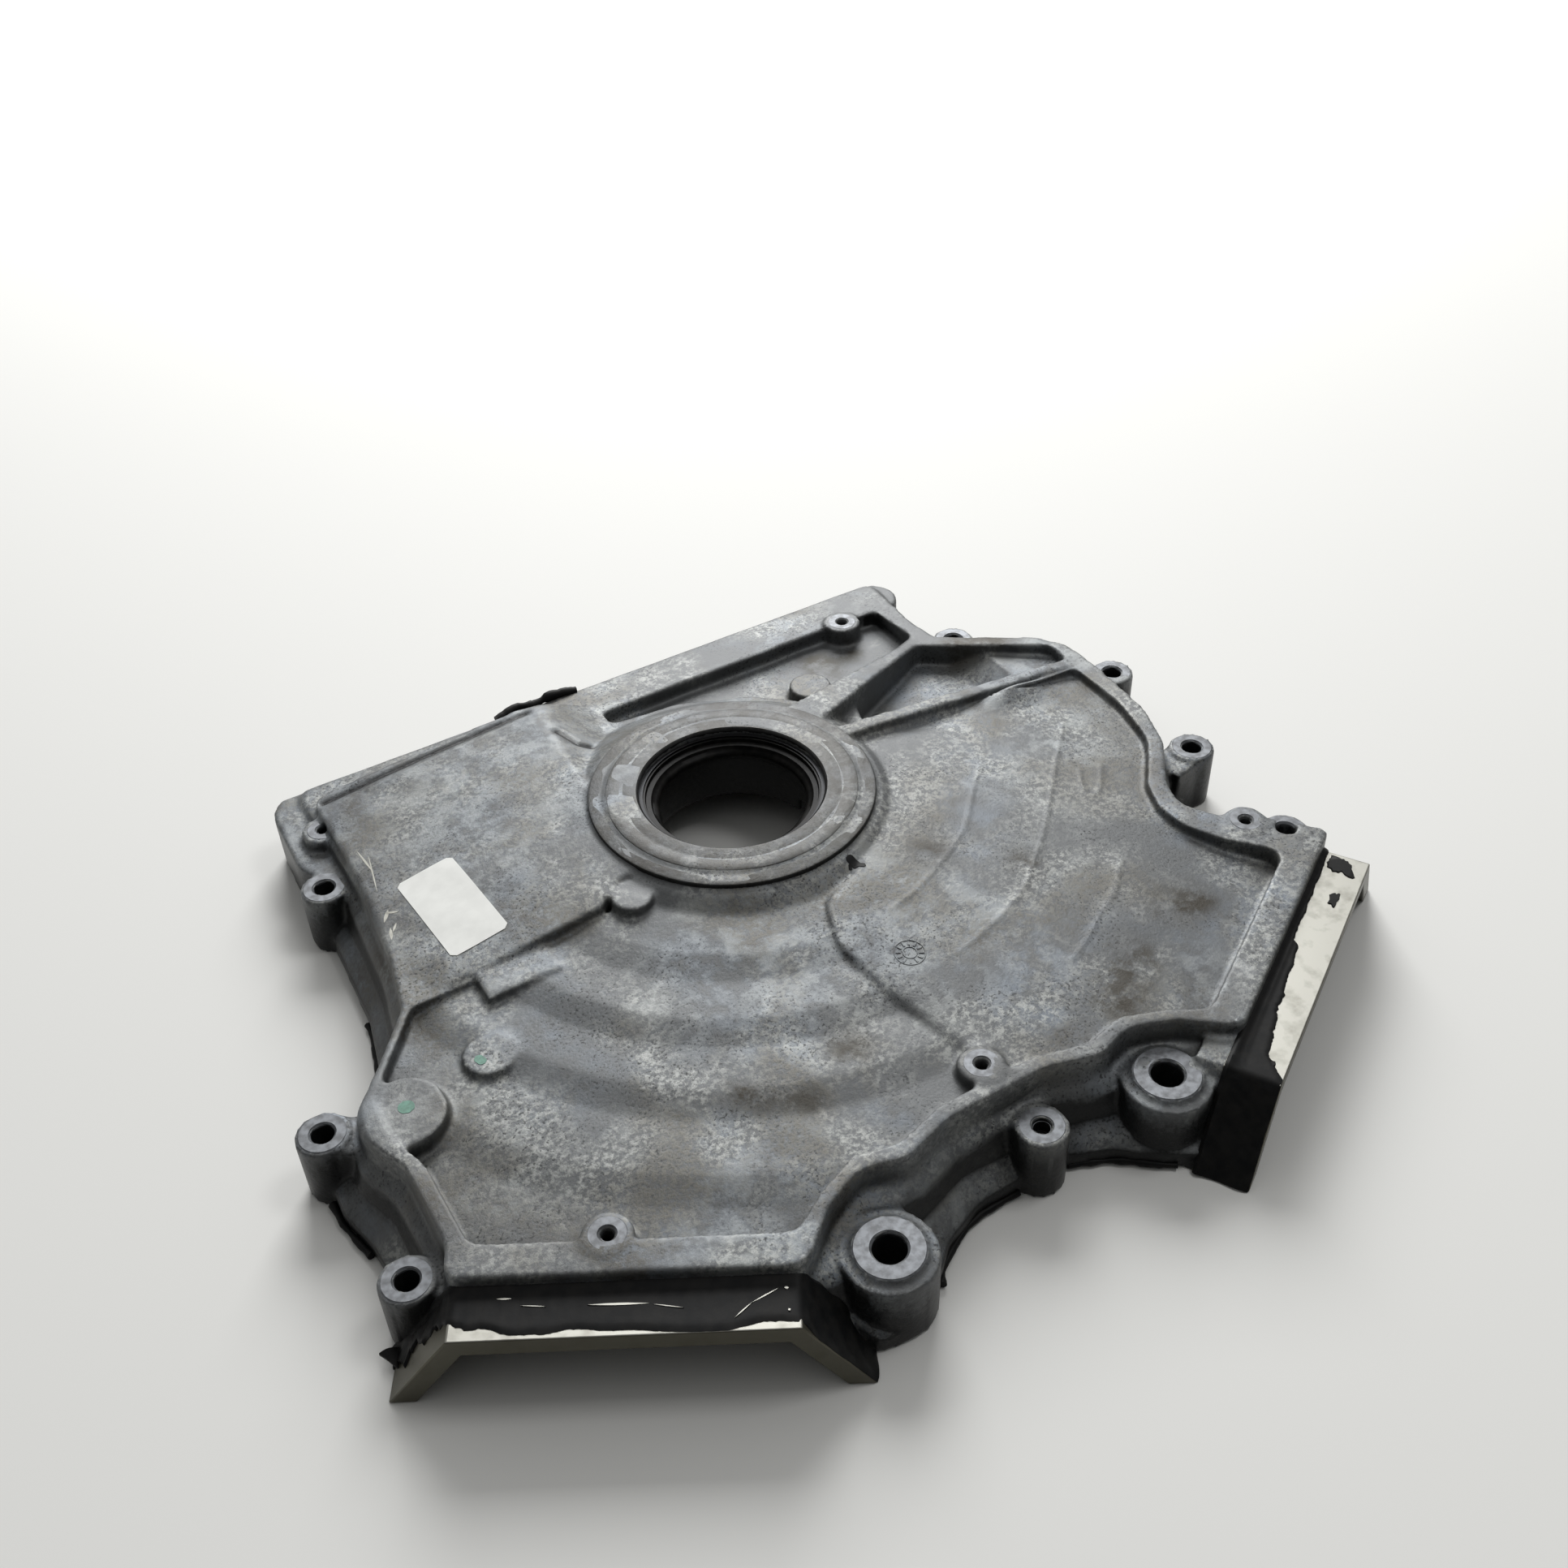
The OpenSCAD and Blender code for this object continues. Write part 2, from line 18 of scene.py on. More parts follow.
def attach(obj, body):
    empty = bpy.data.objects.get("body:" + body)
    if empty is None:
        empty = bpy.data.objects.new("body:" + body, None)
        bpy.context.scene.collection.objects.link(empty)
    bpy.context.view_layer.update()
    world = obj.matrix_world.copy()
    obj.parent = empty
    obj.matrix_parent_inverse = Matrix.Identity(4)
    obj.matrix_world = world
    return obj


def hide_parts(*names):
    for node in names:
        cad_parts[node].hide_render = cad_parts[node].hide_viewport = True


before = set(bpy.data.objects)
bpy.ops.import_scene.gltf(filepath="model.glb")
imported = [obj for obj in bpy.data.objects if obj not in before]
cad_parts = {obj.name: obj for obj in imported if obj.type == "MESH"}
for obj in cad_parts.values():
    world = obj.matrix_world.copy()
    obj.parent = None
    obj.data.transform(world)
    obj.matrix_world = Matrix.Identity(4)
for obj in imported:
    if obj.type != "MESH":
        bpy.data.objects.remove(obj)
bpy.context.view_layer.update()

# %% [markdown]
# ## Working in millimetres
# The drawing of the cover is in millimetres and Blender works in metres, so every piece is written in
# millimetres and divided once, where its mesh is made. Colours are written as sRGB hex, as a paint chart
# gives them, and one function turns them into the linear values that the shader adds up.

# %% Helpers for sizes, colours and meshes
MM = 0.001
SHARP = math.radians(38.0)
RNG = np.random.RandomState(11)


def linear(code):
    parts = [int(code[i : i + 2], 16) / 255 for i in (1, 3, 5)]
    return [p / 12.92 if p <= 0.04045 else ((p + 0.055) / 1.055) ** 2.4 for p in parts] + [1.0]


def per_mm(size):
    """Texture scale that makes a pattern's features about this many millimetres wide."""
    return 1.0 / (size * MM)


def new_object(name, mesh, material=None):
    piece = bpy.data.objects.new(name, mesh)
    bpy.context.scene.collection.objects.link(piece)
    if material:
        mesh.materials.clear()
        mesh.materials.append(material)
    return piece


def smooth(mesh):
    """Smooth shading that keeps the sharp edges of a turned or milled form."""
    mesh.shade_smooth()
    mesh.set_sharp_from_angle(angle=SHARP)


def closed_piece(name, points, faces, material):
    """A mesh piece from points in millimetres, with all its faces turned outwards."""
    mesh = bpy.data.meshes.new(name)
    mesh.from_pydata([tuple(c * MM for c in p) for p in points], [], faces)
    form = bmesh.new()
    form.from_mesh(mesh)
    bmesh.ops.remove_doubles(form, verts=form.verts, dist=1e-6)
    bmesh.ops.recalc_face_normals(form, faces=form.faces)
    form.to_mesh(mesh)
    form.free()
    smooth(mesh)
    return new_object(name, mesh, material)


def finished(piece):
    """Turns a piece's modifiers into plain mesh and takes them off."""
    graph = bpy.context.evaluated_depsgraph_get()
    mesh = bpy.data.meshes.new_from_object(piece.evaluated_get(graph))
    piece.modifiers.clear()
    old = piece.data
    piece.data = mesh
    bpy.data.meshes.remove(old)
    return piece


print("Sharp edges from", round(math.degrees(SHARP)), "degrees")

# %% [markdown]
# ## Camera
# The camera stands where the photograph was taken from, with the same angle of view. Its three axes are
# written out, because a view that was fitted to a photograph has no round angles.

# %% Camera
CAMERA_RIGHT = (-0.85228, 0.52212, -0.03162)
CAMERA_UP = (-0.35160, -0.52708, 0.77367)
CAMERA_BACK = (0.38729, 0.67051, 0.63280)
CAMERA_PLACE = (249.041, 474.901, 489.149)

camera = bpy.data.objects.new("camera", bpy.data.cameras.new("camera"))
bpy.context.scene.collection.objects.link(camera)
camera.data.sensor_width = 36.0
camera.data.lens = 37.985
camera.data.clip_start = 0.01
turn = Matrix((CAMERA_RIGHT, CAMERA_UP, CAMERA_BACK)).transposed().to_4x4()
camera.matrix_world = Matrix.Translation(Vector(CAMERA_PLACE) * MM) @ turn
bpy.context.scene.camera = camera
print("Camera", round(camera.data.lens, 2), "mm lens")

# %% [markdown]
# ## One helper for nodes
# Materials, the world and Geometry Nodes are all trees of nodes. One small function adds a node, sets it and
# links it to the nodes before it, so that each later line reads as one node.


# %% Node helper, and the kinds of node that come back
def add(tree, kind, links=None, out=0, **settings):
    """Adds a node. links gives inputs a value or another node's output. Returns one of its outputs."""
    made = tree.nodes.new(kind)
    for key, value in settings.items():
        setattr(made, key, value)
    for key, value in (links or {}).items():
        if isinstance(value, bpy.types.NodeSocket):
            tree.links.new(value, made.inputs[key])
        else:
            made.inputs[key].default_value = value
    return made.outputs[out]


def new_material(name):
    """A new material, its tree and its main shader."""
    material = bpy.data.materials.new(name)
    material.use_nodes = True
    tree = material.node_tree
    return material, tree, tree.nodes["Principled BSDF"]


COORDINATES = "ShaderNodeTexCoord"
NOISE = "ShaderNodeTexNoise"
RANGE = "ShaderNodeMapRange"
MATH = "ShaderNodeMath"
MIX = "ShaderNodeMix"
BUMP = "ShaderNodeBump"
ATTRIBUTE = "ShaderNodeAttribute"
# Sockets that share a name go by number. Map Range: 0 the value, 1 and 2 the range it comes from, 3 and 4
# the range it goes to. Mix for colours: 0 the share, 6 and 7 the two colours, and output 2.

# %% [markdown]
# ## Floor and light
# The floor is plain and pale. The world is a dome that is bright above and behind and dim in front. A large
# soft lamp far behind the cover gives its top faces their sheen and leaves the walls that face the camera
# in shade, and a weak lamp overhead draws a highlight along the rounded shoulders.

# %% Floor, world and lamps
floor_paint, tree, shader = new_material("pale_floor")
shader.inputs["Base Color"].default_value = linear("#e4e4e1")
shader.inputs["Roughness"].default_value = 0.7
FLOOR_HALF = 4000.0
FLOOR_DROP = 0.3
corners = [(x * FLOOR_HALF, y * FLOOR_HALF, -FLOOR_DROP) for x, y in ((-1, -1), (1, -1), (1, 1), (-1, 1))]
floor = new_object("floor", bpy.data.meshes.new("floor"), floor_paint)
floor.data.from_pydata([tuple(c * MM for c in p) for p in corners], [], [(0, 1, 2, 3)])

world = bpy.data.worlds.new("studio")
bpy.context.scene.world = world
world.use_nodes = True
dome = world.node_tree
direction = add(dome, COORDINATES, out="Generated")
BRIGHT_SIDE = (-0.2, -0.42, 0.88)
DIM = 0.03
BRIGHT = 0.5
toward = add(dome, "ShaderNodeVectorMath", {0: direction, 1: BRIGHT_SIDE}, "Value", operation="DOT_PRODUCT")
brightness = add(dome, RANGE, {0: toward, 1: 0.0, 2: 0.85, 3: DIM, 4: BRIGHT})
dome.links.new(brightness, dome.nodes["Background"].inputs["Strength"])
dome.nodes["Background"].inputs["Color"].default_value = linear("#f3f3f2")
bpy.context.scene.view_settings.view_transform = "Standard"


def soft_lamp(name, place, watts, size):
    """A square lamp that looks at the origin. Its place and size are in metres."""
    lamp = bpy.data.objects.new(name, bpy.data.lights.new(name, "AREA"))
    bpy.context.scene.collection.objects.link(lamp)
    lamp.data.energy = watts
    lamp.data.size = size
    lamp.location = place
    lamp.rotation_euler = Vector(place).to_track_quat("Z", "Y").to_euler()


soft_lamp("key_lamp", (-1.0, -1.75, 1.5), 64.0, 1.4)
soft_lamp("ceiling_lamp", (-0.6, 0.35, 1.5), 3.5, 0.4)
print("Floor, world and 2 lamps")

# %% [markdown]
# ## Cast aluminium
# Die-cast aluminium comes out of the die grey and slightly grainy, neither mirror nor matt. Years on an
# engine leave pale oxide flecks, brown oil stains and dark pits. They come in areas a few centimetres
# wide, and inside an area the flecks are only a few millimetres wide, so each layer is one wide noise
# times one fine noise. A dark mix of grease and painted shade, and the worn edges, follow attributes that
# are worked out from the shape further down. Painted shade darkens corners, faces inside the cover that
# look down and the bore, the groove and the low walls get grime and painted shade, and edges are rubbed
# bright.

# %% Cast aluminium
cast_aluminium, tree, shader = new_material("cast_aluminium")
place = add(tree, COORDINATES, out="Object")
# The real grain is about 0.3 mm. It is drawn at 1.1 mm, so that it shows in the render.
grain = add(tree, NOISE, {"Vector": place, "Scale": per_mm(1.1), "Detail": 4})
fine = add(tree, NOISE, {"Vector": place, "Scale": per_mm(2.4), "Detail": 8, "Roughness": 0.74})
blotch = add(tree, NOISE, {"Vector": place, "Scale": per_mm(11), "Detail": 10, "Roughness": 0.66})
# Each layer: colour, width of its areas in mm and their range in the noise, then the pattern of its flecks,
# their range in that noise and the most that they cover
LAYERS = (
    ("#6f767e", 60, 0.44, 0.60, blotch, 0.42, 0.56, 0.8),
    ("#a8aaa6", 42, 0.42, 0.58, fine, 0.46, 0.58, 0.72),
    ("#8f9291", 75, 0.46, 0.60, blotch, 0.48, 0.58, 0.6),
    ("#4b463c", 46, 0.50, 0.64, fine, 0.34, 0.58, 0.75),
    ("#28292a", 30, 0.42, 0.58, grain, 0.45, 0.32, 0.9),
)
colour = linear("#5f6162")
for code, width, low, high, pattern, weak, strong, most in LAYERS:
    area = add(tree, NOISE, {"Vector": place, "Scale": per_mm(width), "Detail": 6, "Distortion": 0.3})
    share = add(tree, RANGE, {0: area, 1: low, 2: high})
    fleck = add(tree, RANGE, {0: pattern, 1: weak, 2: strong, 4: most})
    share = add(tree, MATH, {0: share, 1: fleck}, operation="MULTIPLY")
    colour = add(tree, MIX, {0: share, 6: colour, 7: linear(code)}, 2, data_type="RGBA")

stain = add(tree, ATTRIBUTE, out="Fac", attribute_name="stain")
soaked = add(tree, RANGE, {0: blotch, 1: 0.38, 2: 0.56})
soaked = add(tree, MATH, {0: stain, 1: soaked}, operation="MULTIPLY")
colour = add(tree, MIX, {0: soaked, 6: colour, 7: linear("#37332b")}, 2, data_type="RGBA")

wear = add(tree, ATTRIBUTE, out="Fac", attribute_name="wear")
rubbed = add(tree, RANGE, {0: fine, 1: 0.3, 2: 0.6, 4: 0.5})
rubbed = add(tree, MATH, {0: wear, 1: rubbed}, operation="MULTIPLY")
colour = add(tree, MIX, {0: rubbed, 6: colour, 7: linear("#a6a8a7")}, 2, data_type="RGBA")

# Painted shade and real grease: this attribute turns the metal towards glossy black, as painted shade in
# corners, under overhangs and in the bore, and as grime and painted shade in the groove and on low walls
grease_and_shade = add(tree, ATTRIBUTE, out="Fac", attribute_name="grease_and_shade")
uneven = add(tree, MATH, {0: fine, 1: 0.7, 2: grease_and_shade}, operation="MULTIPLY_ADD")
black = add(tree, RANGE, {0: uneven, 1: 0.5, 2: 1.1, 4: 0.94})
colour = add(tree, MIX, {0: black, 6: colour, 7: linear("#0e0e0e")}, 2, data_type="RGBA")

bump = add(tree, BUMP, {"Strength": 0.35, "Distance": 0.2 * MM, "Height": grain})
bump = add(tree, BUMP, {"Strength": 0.45, "Distance": 0.45 * MM, "Height": fine, "Normal": bump})
tree.links.new(colour, shader.inputs["Base Color"])
tree.links.new(add(tree, RANGE, {0: black, 3: 0.5, 4: 0.3}), shader.inputs["Roughness"])
tree.links.new(add(tree, RANGE, {0: black, 3: 0.42, 4: 0.0}), shader.inputs["Metallic"])
tree.links.new(add(tree, RANGE, {0: black, 3: 0.5, 4: 0.18}), shader.inputs["Specular IOR Level"])
tree.links.new(bump, shader.inputs["Normal"])
print("Material", cast_aluminium.name, "with", len(LAYERS), "layers")

# %% [markdown]
# ## Milled aluminium
# The tops of the spigots were milled and are still bright. Oil ran over their slopes and dried brown on
# their ends, and these faces that look less up also carry painted shade, so the shader mixes the two by how
# far a face looks up.

# %% Milled aluminium
milled_aluminium, tree, shader = new_material("milled_aluminium")
place = add(tree, COORDINATES, out="Object")
normal = add(tree, "ShaderNodeNewGeometry", out="Normal")
facing = add(tree, "ShaderNodeSeparateXYZ", {0: normal}, "Z")
smear = add(tree, NOISE, {"Vector": place, "Scale": per_mm(7), "Detail": 6})
smear_share = add(tree, RANGE, {0: smear, 1: 0.5, 2: 0.72, 4: 0.55})
colour = add(tree, MIX, {0: smear_share, 6: linear("#b9b8b0"), 7: linear("#7d7a70")}, 2, data_type="RGBA")
# Oil and painted shade: faces that look less up, the slopes and the ends, turn dark brown
oil_and_shade_share = add(tree, RANGE, {0: facing, 1: 0.9, 2: 0.6, 4: 0.92})
colour = add(tree, MIX, {0: oil_and_shade_share, 6: colour, 7: linear("#4a4739")}, 2, data_type="RGBA")
bump = add(tree, BUMP, {"Strength": 0.4, "Distance": 0.03 * MM, "Height": smear})
tree.links.new(colour, shader.inputs["Base Color"])
tree.links.new(bump, shader.inputs["Normal"])
shader.inputs["Metallic"].default_value = 0.8
shader.inputs["Roughness"].default_value = 0.38
print("Material", milled_aluminium.name)

# %% [markdown]
# ## The even finishes
# The faced holes are machined aluminium gone dull. The sealant is black silicone with a satin skin. The
# seal is oily nitrile rubber in a dull steel case. The sticker is coated paper, and the inspection marks
# are thin green paint. Each is one colour with a little dirt and a fine grain, so one loop makes them.

# %% Even finishes: colour, metallic, roughness, specular level, dirt, then grain width and depth in mm
FINISHES = {
    "machined_aluminium": ("#7f8286", 0.6, 0.5, 0.5, 0.5, 3.0, 0.05),
    "silicone_sealant": ("#0d0e0f", 0.0, 0.5, 0.16, 0.3, 5.0, 0.15),
    "nitrile_rubber": ("#070707", 0.0, 0.45, 0.12, 0.3, 3.0, 0.08),
    "dull_steel": ("#303133", 0.9, 0.5, 0.5, 0.3, 2.0, 0.04),
    "coated_paper": ("#e9eae6", 0.0, 0.5, 0.4, 0.06, 6.0, 0.03),
    "green_paint": ("#6f9a8a", 0.0, 0.55, 0.4, 0.3, 1.5, 0.05),
}
finish = {}
for name, (code, metallic, roughness, specular, dirt_most, width, depth) in FINISHES.items():
    finish[name], tree, shader = new_material(name)
    place = add(tree, COORDINATES, out="Object")
    dirt = add(tree, NOISE, {"Vector": place, "Scale": per_mm(width), "Detail": 5})
    dirt_share = add(tree, RANGE, {0: dirt, 1: 0.62, 2: 0.36, 4: dirt_most})
    colour = add(tree, MIX, {0: dirt_share, 6: linear(code), 7: linear("#2a2825")}, 2, data_type="RGBA")
    bump = add(tree, BUMP, {"Strength": 0.5, "Distance": depth * MM, "Height": dirt})
    tree.links.new(colour, shader.inputs["Base Color"])
    tree.links.new(bump, shader.inputs["Normal"])
    shader.inputs["Metallic"].default_value = metallic
    shader.inputs["Roughness"].default_value = roughness
    shader.inputs["Specular IOR Level"].default_value = specular
print("Finishes", sorted(finish))

# %% [markdown]
# ## The cast skin
# A die rounds every edge, because sharp ones would crack. Bevelling thousands of small CAD triangles one by
# one isn't practical, so a copy of the casting is turned into even small cells by a voxel remesh and then
# relaxed: each point moves towards its neighbours, which rounds edges and fills corners with a fillet. The
# machined places are relaxed less. The CAD node itself is never touched: this skin stands for it.

# %% Remesh a copy of the casting
VOXEL = 1.0
skin_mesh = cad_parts["cover_casting"].data.copy()
form = bmesh.new()
form.from_mesh(skin_mesh)
bmesh.ops.remove_doubles(form, verts=form.verts, dist=1e-5)
form.to_mesh(skin_mesh)
form.free()
skin = new_object("cast_skin", skin_mesh, cast_aluminium)
remesh = skin.modifiers.new("cells", "REMESH")
remesh.mode = "VOXEL"
remesh.voxel_size = VOXEL * MM
finished(skin)
print("Skin cells", len(skin.data.polygons))


# %% Tools for the skin's points
def distance_to_path(xy, path):
    """Shortest distance in plan from each point to a line of straight pieces."""
    best = np.full(len(xy), 1e9)
    for a, b in zip(np.array(path[:-1], float), np.array(path[1:], float)):
        run = b - a
        share = np.clip(((xy - a) @ run) / (run @ run), 0, 1)
        best = np.minimum(best, np.linalg.norm(xy - (a + share[:, None] * run), axis=1))
    return best


def hump(distance, width):
    """1 at no distance, falling smoothly to almost 0 at twice the width."""
    return np.exp(-((distance / width) ** 2))


def relax(points, one, other, share, rounds):
    """Moves each point by its share towards the middle of its neighbours, a number of times."""
    n = len(points)
    count = np.maximum(1, np.bincount(one, minlength=n) + np.bincount(other, minlength=n))
    for _ in range(rounds):
        mean = np.empty_like(points)
        for k in range(3):
            total = np.bincount(one, points[other, k], n) + np.bincount(other, points[one, k], n)
            mean[:, k] = total / count
        points = points + share[:, None] * (mean - points)
    return points


# %% Relax it, less where it is machined and more at two soft steps
DECK = 226.0
BANK = math.radians(30.0)
RELAX_ROUNDS = 4
# How far a point gives way in each round: cast skin, faces to the block and the oil pan, spigots
CAST_GIVE = 0.5
FACE_GIVE = 0.12
SPIGOT_GIVE = 0.15
BLOCK_FACE_TOP = 1.5
PAN_FACE_EDGE = -126.5
SPIGOT_START = 1.0
# The two steps that are relaxed further, how far round them, and how strong that has to be to count
SOFT_ROUNDS = 45
SOFT_WIDTH = 8.0
SOFT_LEAST = 0.05
SOFT_EDGE = 0.15
PANEL_FOOT = 28
PANEL_STEP = ((-10, 76), (-4, 89), (-0.5, 107), (-2.5, 126), (-9, 148), (-10, 160))
RAMP_CREST = ((39, -108), (39, -66))

point_count = len(skin.data.vertices)
co = np.empty(point_count * 3)
skin.data.vertices.foreach_get("co", co)
co = co.reshape(-1, 3) / MM
edges = np.empty(len(skin.data.edges) * 2, dtype=np.int64)
skin.data.edges.foreach_get("vertices", edges)
edge_a, edge_b = edges.reshape(-1, 2).T
deck_reach = np.abs(co[:, 0]) * math.sin(BANK) + co[:, 1] * math.cos(BANK)
give = np.full(point_count, CAST_GIVE)
give[co[:, 2] < BLOCK_FACE_TOP] = FACE_GIVE
give[co[:, 1] < PAN_FACE_EDGE] = FACE_GIVE
give[deck_reach > DECK + SPIGOT_START] = SPIGOT_GIVE
co = relax(co, edge_a, edge_b, give, RELAX_ROUNDS)

soft = sum(hump(distance_to_path(co[:, :2], path), SOFT_WIDTH) for path in (PANEL_STEP, RAMP_CREST))
chosen = np.flatnonzero((soft > SOFT_LEAST) * (co[:, 2] > PANEL_FOOT))
place_of = np.full(point_count, -1)
place_of[chosen] = np.arange(len(chosen))
both = (place_of[edge_a] >= 0) * (place_of[edge_b] >= 0)
share = CAST_GIVE * np.clip((soft[chosen] - SOFT_EDGE) / (1 - SOFT_EDGE), 0, 1)
co[chosen] = relax(co[chosen], place_of[edge_a[both]], place_of[edge_b[both]], share, SOFT_ROUNDS)
skin.data.vertices.foreach_set("co", (co * MM).ravel())
skin.data.update()
print("Relaxed", point_count, "points, and", len(chosen), "of them further")

# %% [markdown]
# ## The low forms of the panels
# The left panel carries faint curved ridges, and in one place it swells up to the crest of the rib beside
# it. A shallow groove runs along the side field's far edge, and a small notch lies at the hub. Each could
# be a mesh of its own laid on the panel, but its edge would show. So the skin's own points are moved up or
# down instead, by a height that depends on their place.


# %% Ridges, a groove, a notch, the swelling at the rib and slight unevenness
def rounded(path):
    """Cuts a path's corners twice, which makes it a smooth curve."""
    line = np.array(path, float)
    for _ in range(2):
        cut = np.stack([0.75 * line[:-1] + 0.25 * line[1:], 0.25 * line[:-1] + 0.75 * line[1:]], axis=1)
        line = np.vstack([line[:1], cut.reshape(-1, 2), line[-1:]])
    return line


PANEL_RIDGES = (
    ((-103, 36), (-87, 51), (-74, 65), (-66, 71), (-50, 80), (-32, 88), (-18, 91)),
    ((-154, 29), (-125, 58), (-103, 81), (-83, 98), (-72, 107), (-52, 116), (-28, 122)),
    ((-116, 113), (-101, 127), (-90, 132), (-76, 141), (-64, 146)),
    ((-138, 60), (-130, 72), (-132, 77), (-140, 72), (-149, 61)),
)
FIELD_LINE = rounded(((125, -100.5), (84, -102), (55, -102.5)))
FIELD_GROOVE = rounded(((145, -105.5), (115, -106.3), (84, -106.8), (47, -107)))
HUB_NOTCH = ((41, -85), (36.5, -75), (31, -72.5))
# Forms that follow a path: the path, the height and the half width
PATH_FORMS = [(rounded(path), 0.24, 1.1) for path in PANEL_RIDGES] + [
    (FIELD_LINE, 0.4, 1.4),
    (FIELD_GROOVE, -1.3, 2.0),
    (HUB_NOTCH, -1.6, 2.4),
]
# Forms beside the rib: x of the middle, half width and height
RIB_FORMS = ((-146, 15.0, 3.6), (-98, 22.0, -1.4))
RIB_EDGE = ((-184, 1), (-60, -1))
RIB_REACH = 7.0
RIB_SIDE = -1.5
FORM_FLOOR = 20
SPIGOT_SINK = 0.25
SINK_START = 0.8

normals = np.empty(point_count * 3)
skin.data.vertex_normals.foreach_get("vector", normals)
normals = normals.reshape(-1, 3)
on_spigot = deck_reach > DECK + SINK_START
# Two slow waves make the panels slightly uneven
rise = 0.14 * np.sin(co[:, 0] / 11.0 + 1.3) * np.sin(co[:, 1] / 13.0)
rise += 0.08 * np.sin(co[:, 0] / 4.7 + co[:, 1] / 6.1)
for path, height, width in PATH_FORMS:
    rise += height * hump(distance_to_path(co[:, :2], path), width)
beside_rib = hump(distance_to_path(co[:, :2], RIB_EDGE), RIB_REACH) * (co[:, 1] > RIB_SIDE)
for x, width, height in RIB_FORMS:
    rise += height * hump(co[:, 0] - x, width) * beside_rib
# Only faces that look up get these forms, and none on the spigots
rise *= np.clip((normals[:, 2] - 0.6) / 0.3, 0, 1) * (co[:, 2] > FORM_FLOOR) * ~on_spigot
co[:, 2] += rise
co[on_spigot] -= SPIGOT_SINK * normals[on_spigot]
skin.data.vertices.foreach_set("co", (co * MM).ravel())
skin.data.update()
print("Forms move the skin from %.2f to %.2f mm" % (rise.min(), rise.max()))

# %% Thin the skin out where it is flat
SKIN_TRIANGLES = 190000
triangles = sum(len(p.vertices) - 2 for p in skin.data.polygons)
thin = skin.modifiers.new("thin", "DECIMATE")
thin.ratio = min(1.0, SKIN_TRIANGLES / triangles)
thin.use_collapse_triangulate = True
finished(skin)
skin.data.shade_smooth()
print("Skin triangles", triangles, "->", len(skin.data.polygons))

# %% [markdown]
# ## Where grease and painted shade darken the skin, and where the edges are worn
# Painted shade darkens corners, faces inside the cover that look down and the bore; the groove and the low
# upright walls get grime and painted shade. For each point of the skin a few rays look out around its
# normal: the more of them hit metal close by, the deeper the corner and the darker its painted shade. Worn
# edges are where a point stands out from the middle of its neighbours.

# %% Look for corners
RAYS = 10
RAY_REACH = 15.0
RAY_START = 0.25
LOBE_DEPTH = 0.72
GOLDEN_ANGLE = math.pi * (3 - math.sqrt(5))

skin_tree = BVHTree.FromPolygons(
    [v.co.copy() for v in skin.data.vertices], [tuple(p.vertices) for p in skin.data.polygons]
)
lobe = []
for k in range(RAYS):
    height = 1 - LOBE_DEPTH * (k + 0.5) / RAYS
    ring = math.sqrt(1 - height * height)
    lobe.append((ring * math.cos(GOLDEN_ANGLE * k), ring * math.sin(GOLDEN_ANGLE * k), height))
corner_depth = np.zeros(len(skin.data.vertices))
for i, vertex in enumerate(skin.data.vertices):
    normal = vertex.normal
    sideways = normal.orthogonal().normalized()
    across = normal.cross(sideways)
    start = vertex.co + normal * (RAY_START * MM)
    for a, b, c in lobe:
        hit = skin_tree.ray_cast(start, sideways * a + across * b + normal * c, RAY_REACH * MM)[0]
        corner_depth[i] += (hit is not None) / RAYS
print("Mean corner depth %.3f" % corner_depth.mean())

# %% Oil stains: place in the plan and radius
STAINS = (
    (32, 137, 9),
    (68, 139, 9),
    (77, 131, 6),
    (55, 149, 7),
    (86, 183, 6),
    (-50, 73, 10),
    (-80, 96, 9),
    (-66, 172, 16),
    (-86, 156, 14),
    (-118, 145, 11),
    (-130, 146, 7),
    (-97, -92, 10),
    (-116, -88, 10),
    (-98, -80, 8),
    (-156, -53, 12),
    (-172, -42, 10),
)


def paint(piece, name, level):
    """Writes one number per point of a piece, from 0 to 1, for its material."""
    layer = piece.data.attributes.new(name, "FLOAT", "POINT")
    layer.data.foreach_set("value", np.clip(level, 0, 1).astype(np.float32))


co = np.array([v.co for v in skin.data.vertices]) / MM
normals = np.array([v.normal for v in skin.data.vertices])
stain_level = sum(hump(np.hypot(co[:, 0] - x, co[:, 1] - y), radius) for x, y, radius in STAINS)
paint(skin, "stain", stain_level)
print("Stains", len(STAINS))

# %% Grease and painted shade: what each kind of place adds, and what the panel step and the two pockets take off again
# Painted shade in corners: the deeper a corner, the darker it is, and less so at the panel step and in the
# pockets
CORNER_SHADE = 0.72
WALL_GREASE_AND_SHADE = 0.9
UNDERSIDE_SHADE = 0.3
GROOVE_GRIME_AND_SHADE = 0.75
STEP_SHADE_CUT = 0.75
POCKET_WALL_DARK_CUT = 0.85
POCKET_CORNER_SHADE_CUT = 0.3
BORE_REACH = 38
BORE_TOP = 48
LOW_TOP = 36
LOW_FADE = 20
# The two pockets lie in one area of the plan, with a left wall that leans from its far corner
POCKET_CORNER = (-128, -115)
POCKET_LEAN = 0.55
POCKET_RIGHT = 25
POCKET_FAR = -122
POCKET_NEAR = -3

# Grease and painted shade on upright walls: they darken more the lower they stand, and less in the pockets
wall = np.clip((0.85 - normals[:, 2]) / 0.45, 0, 1)
# Painted shade under overhangs: faces inside the cover that look down are darkened
inside = (normals[:, 2] < -0.3) * (co[:, 2] > 1)
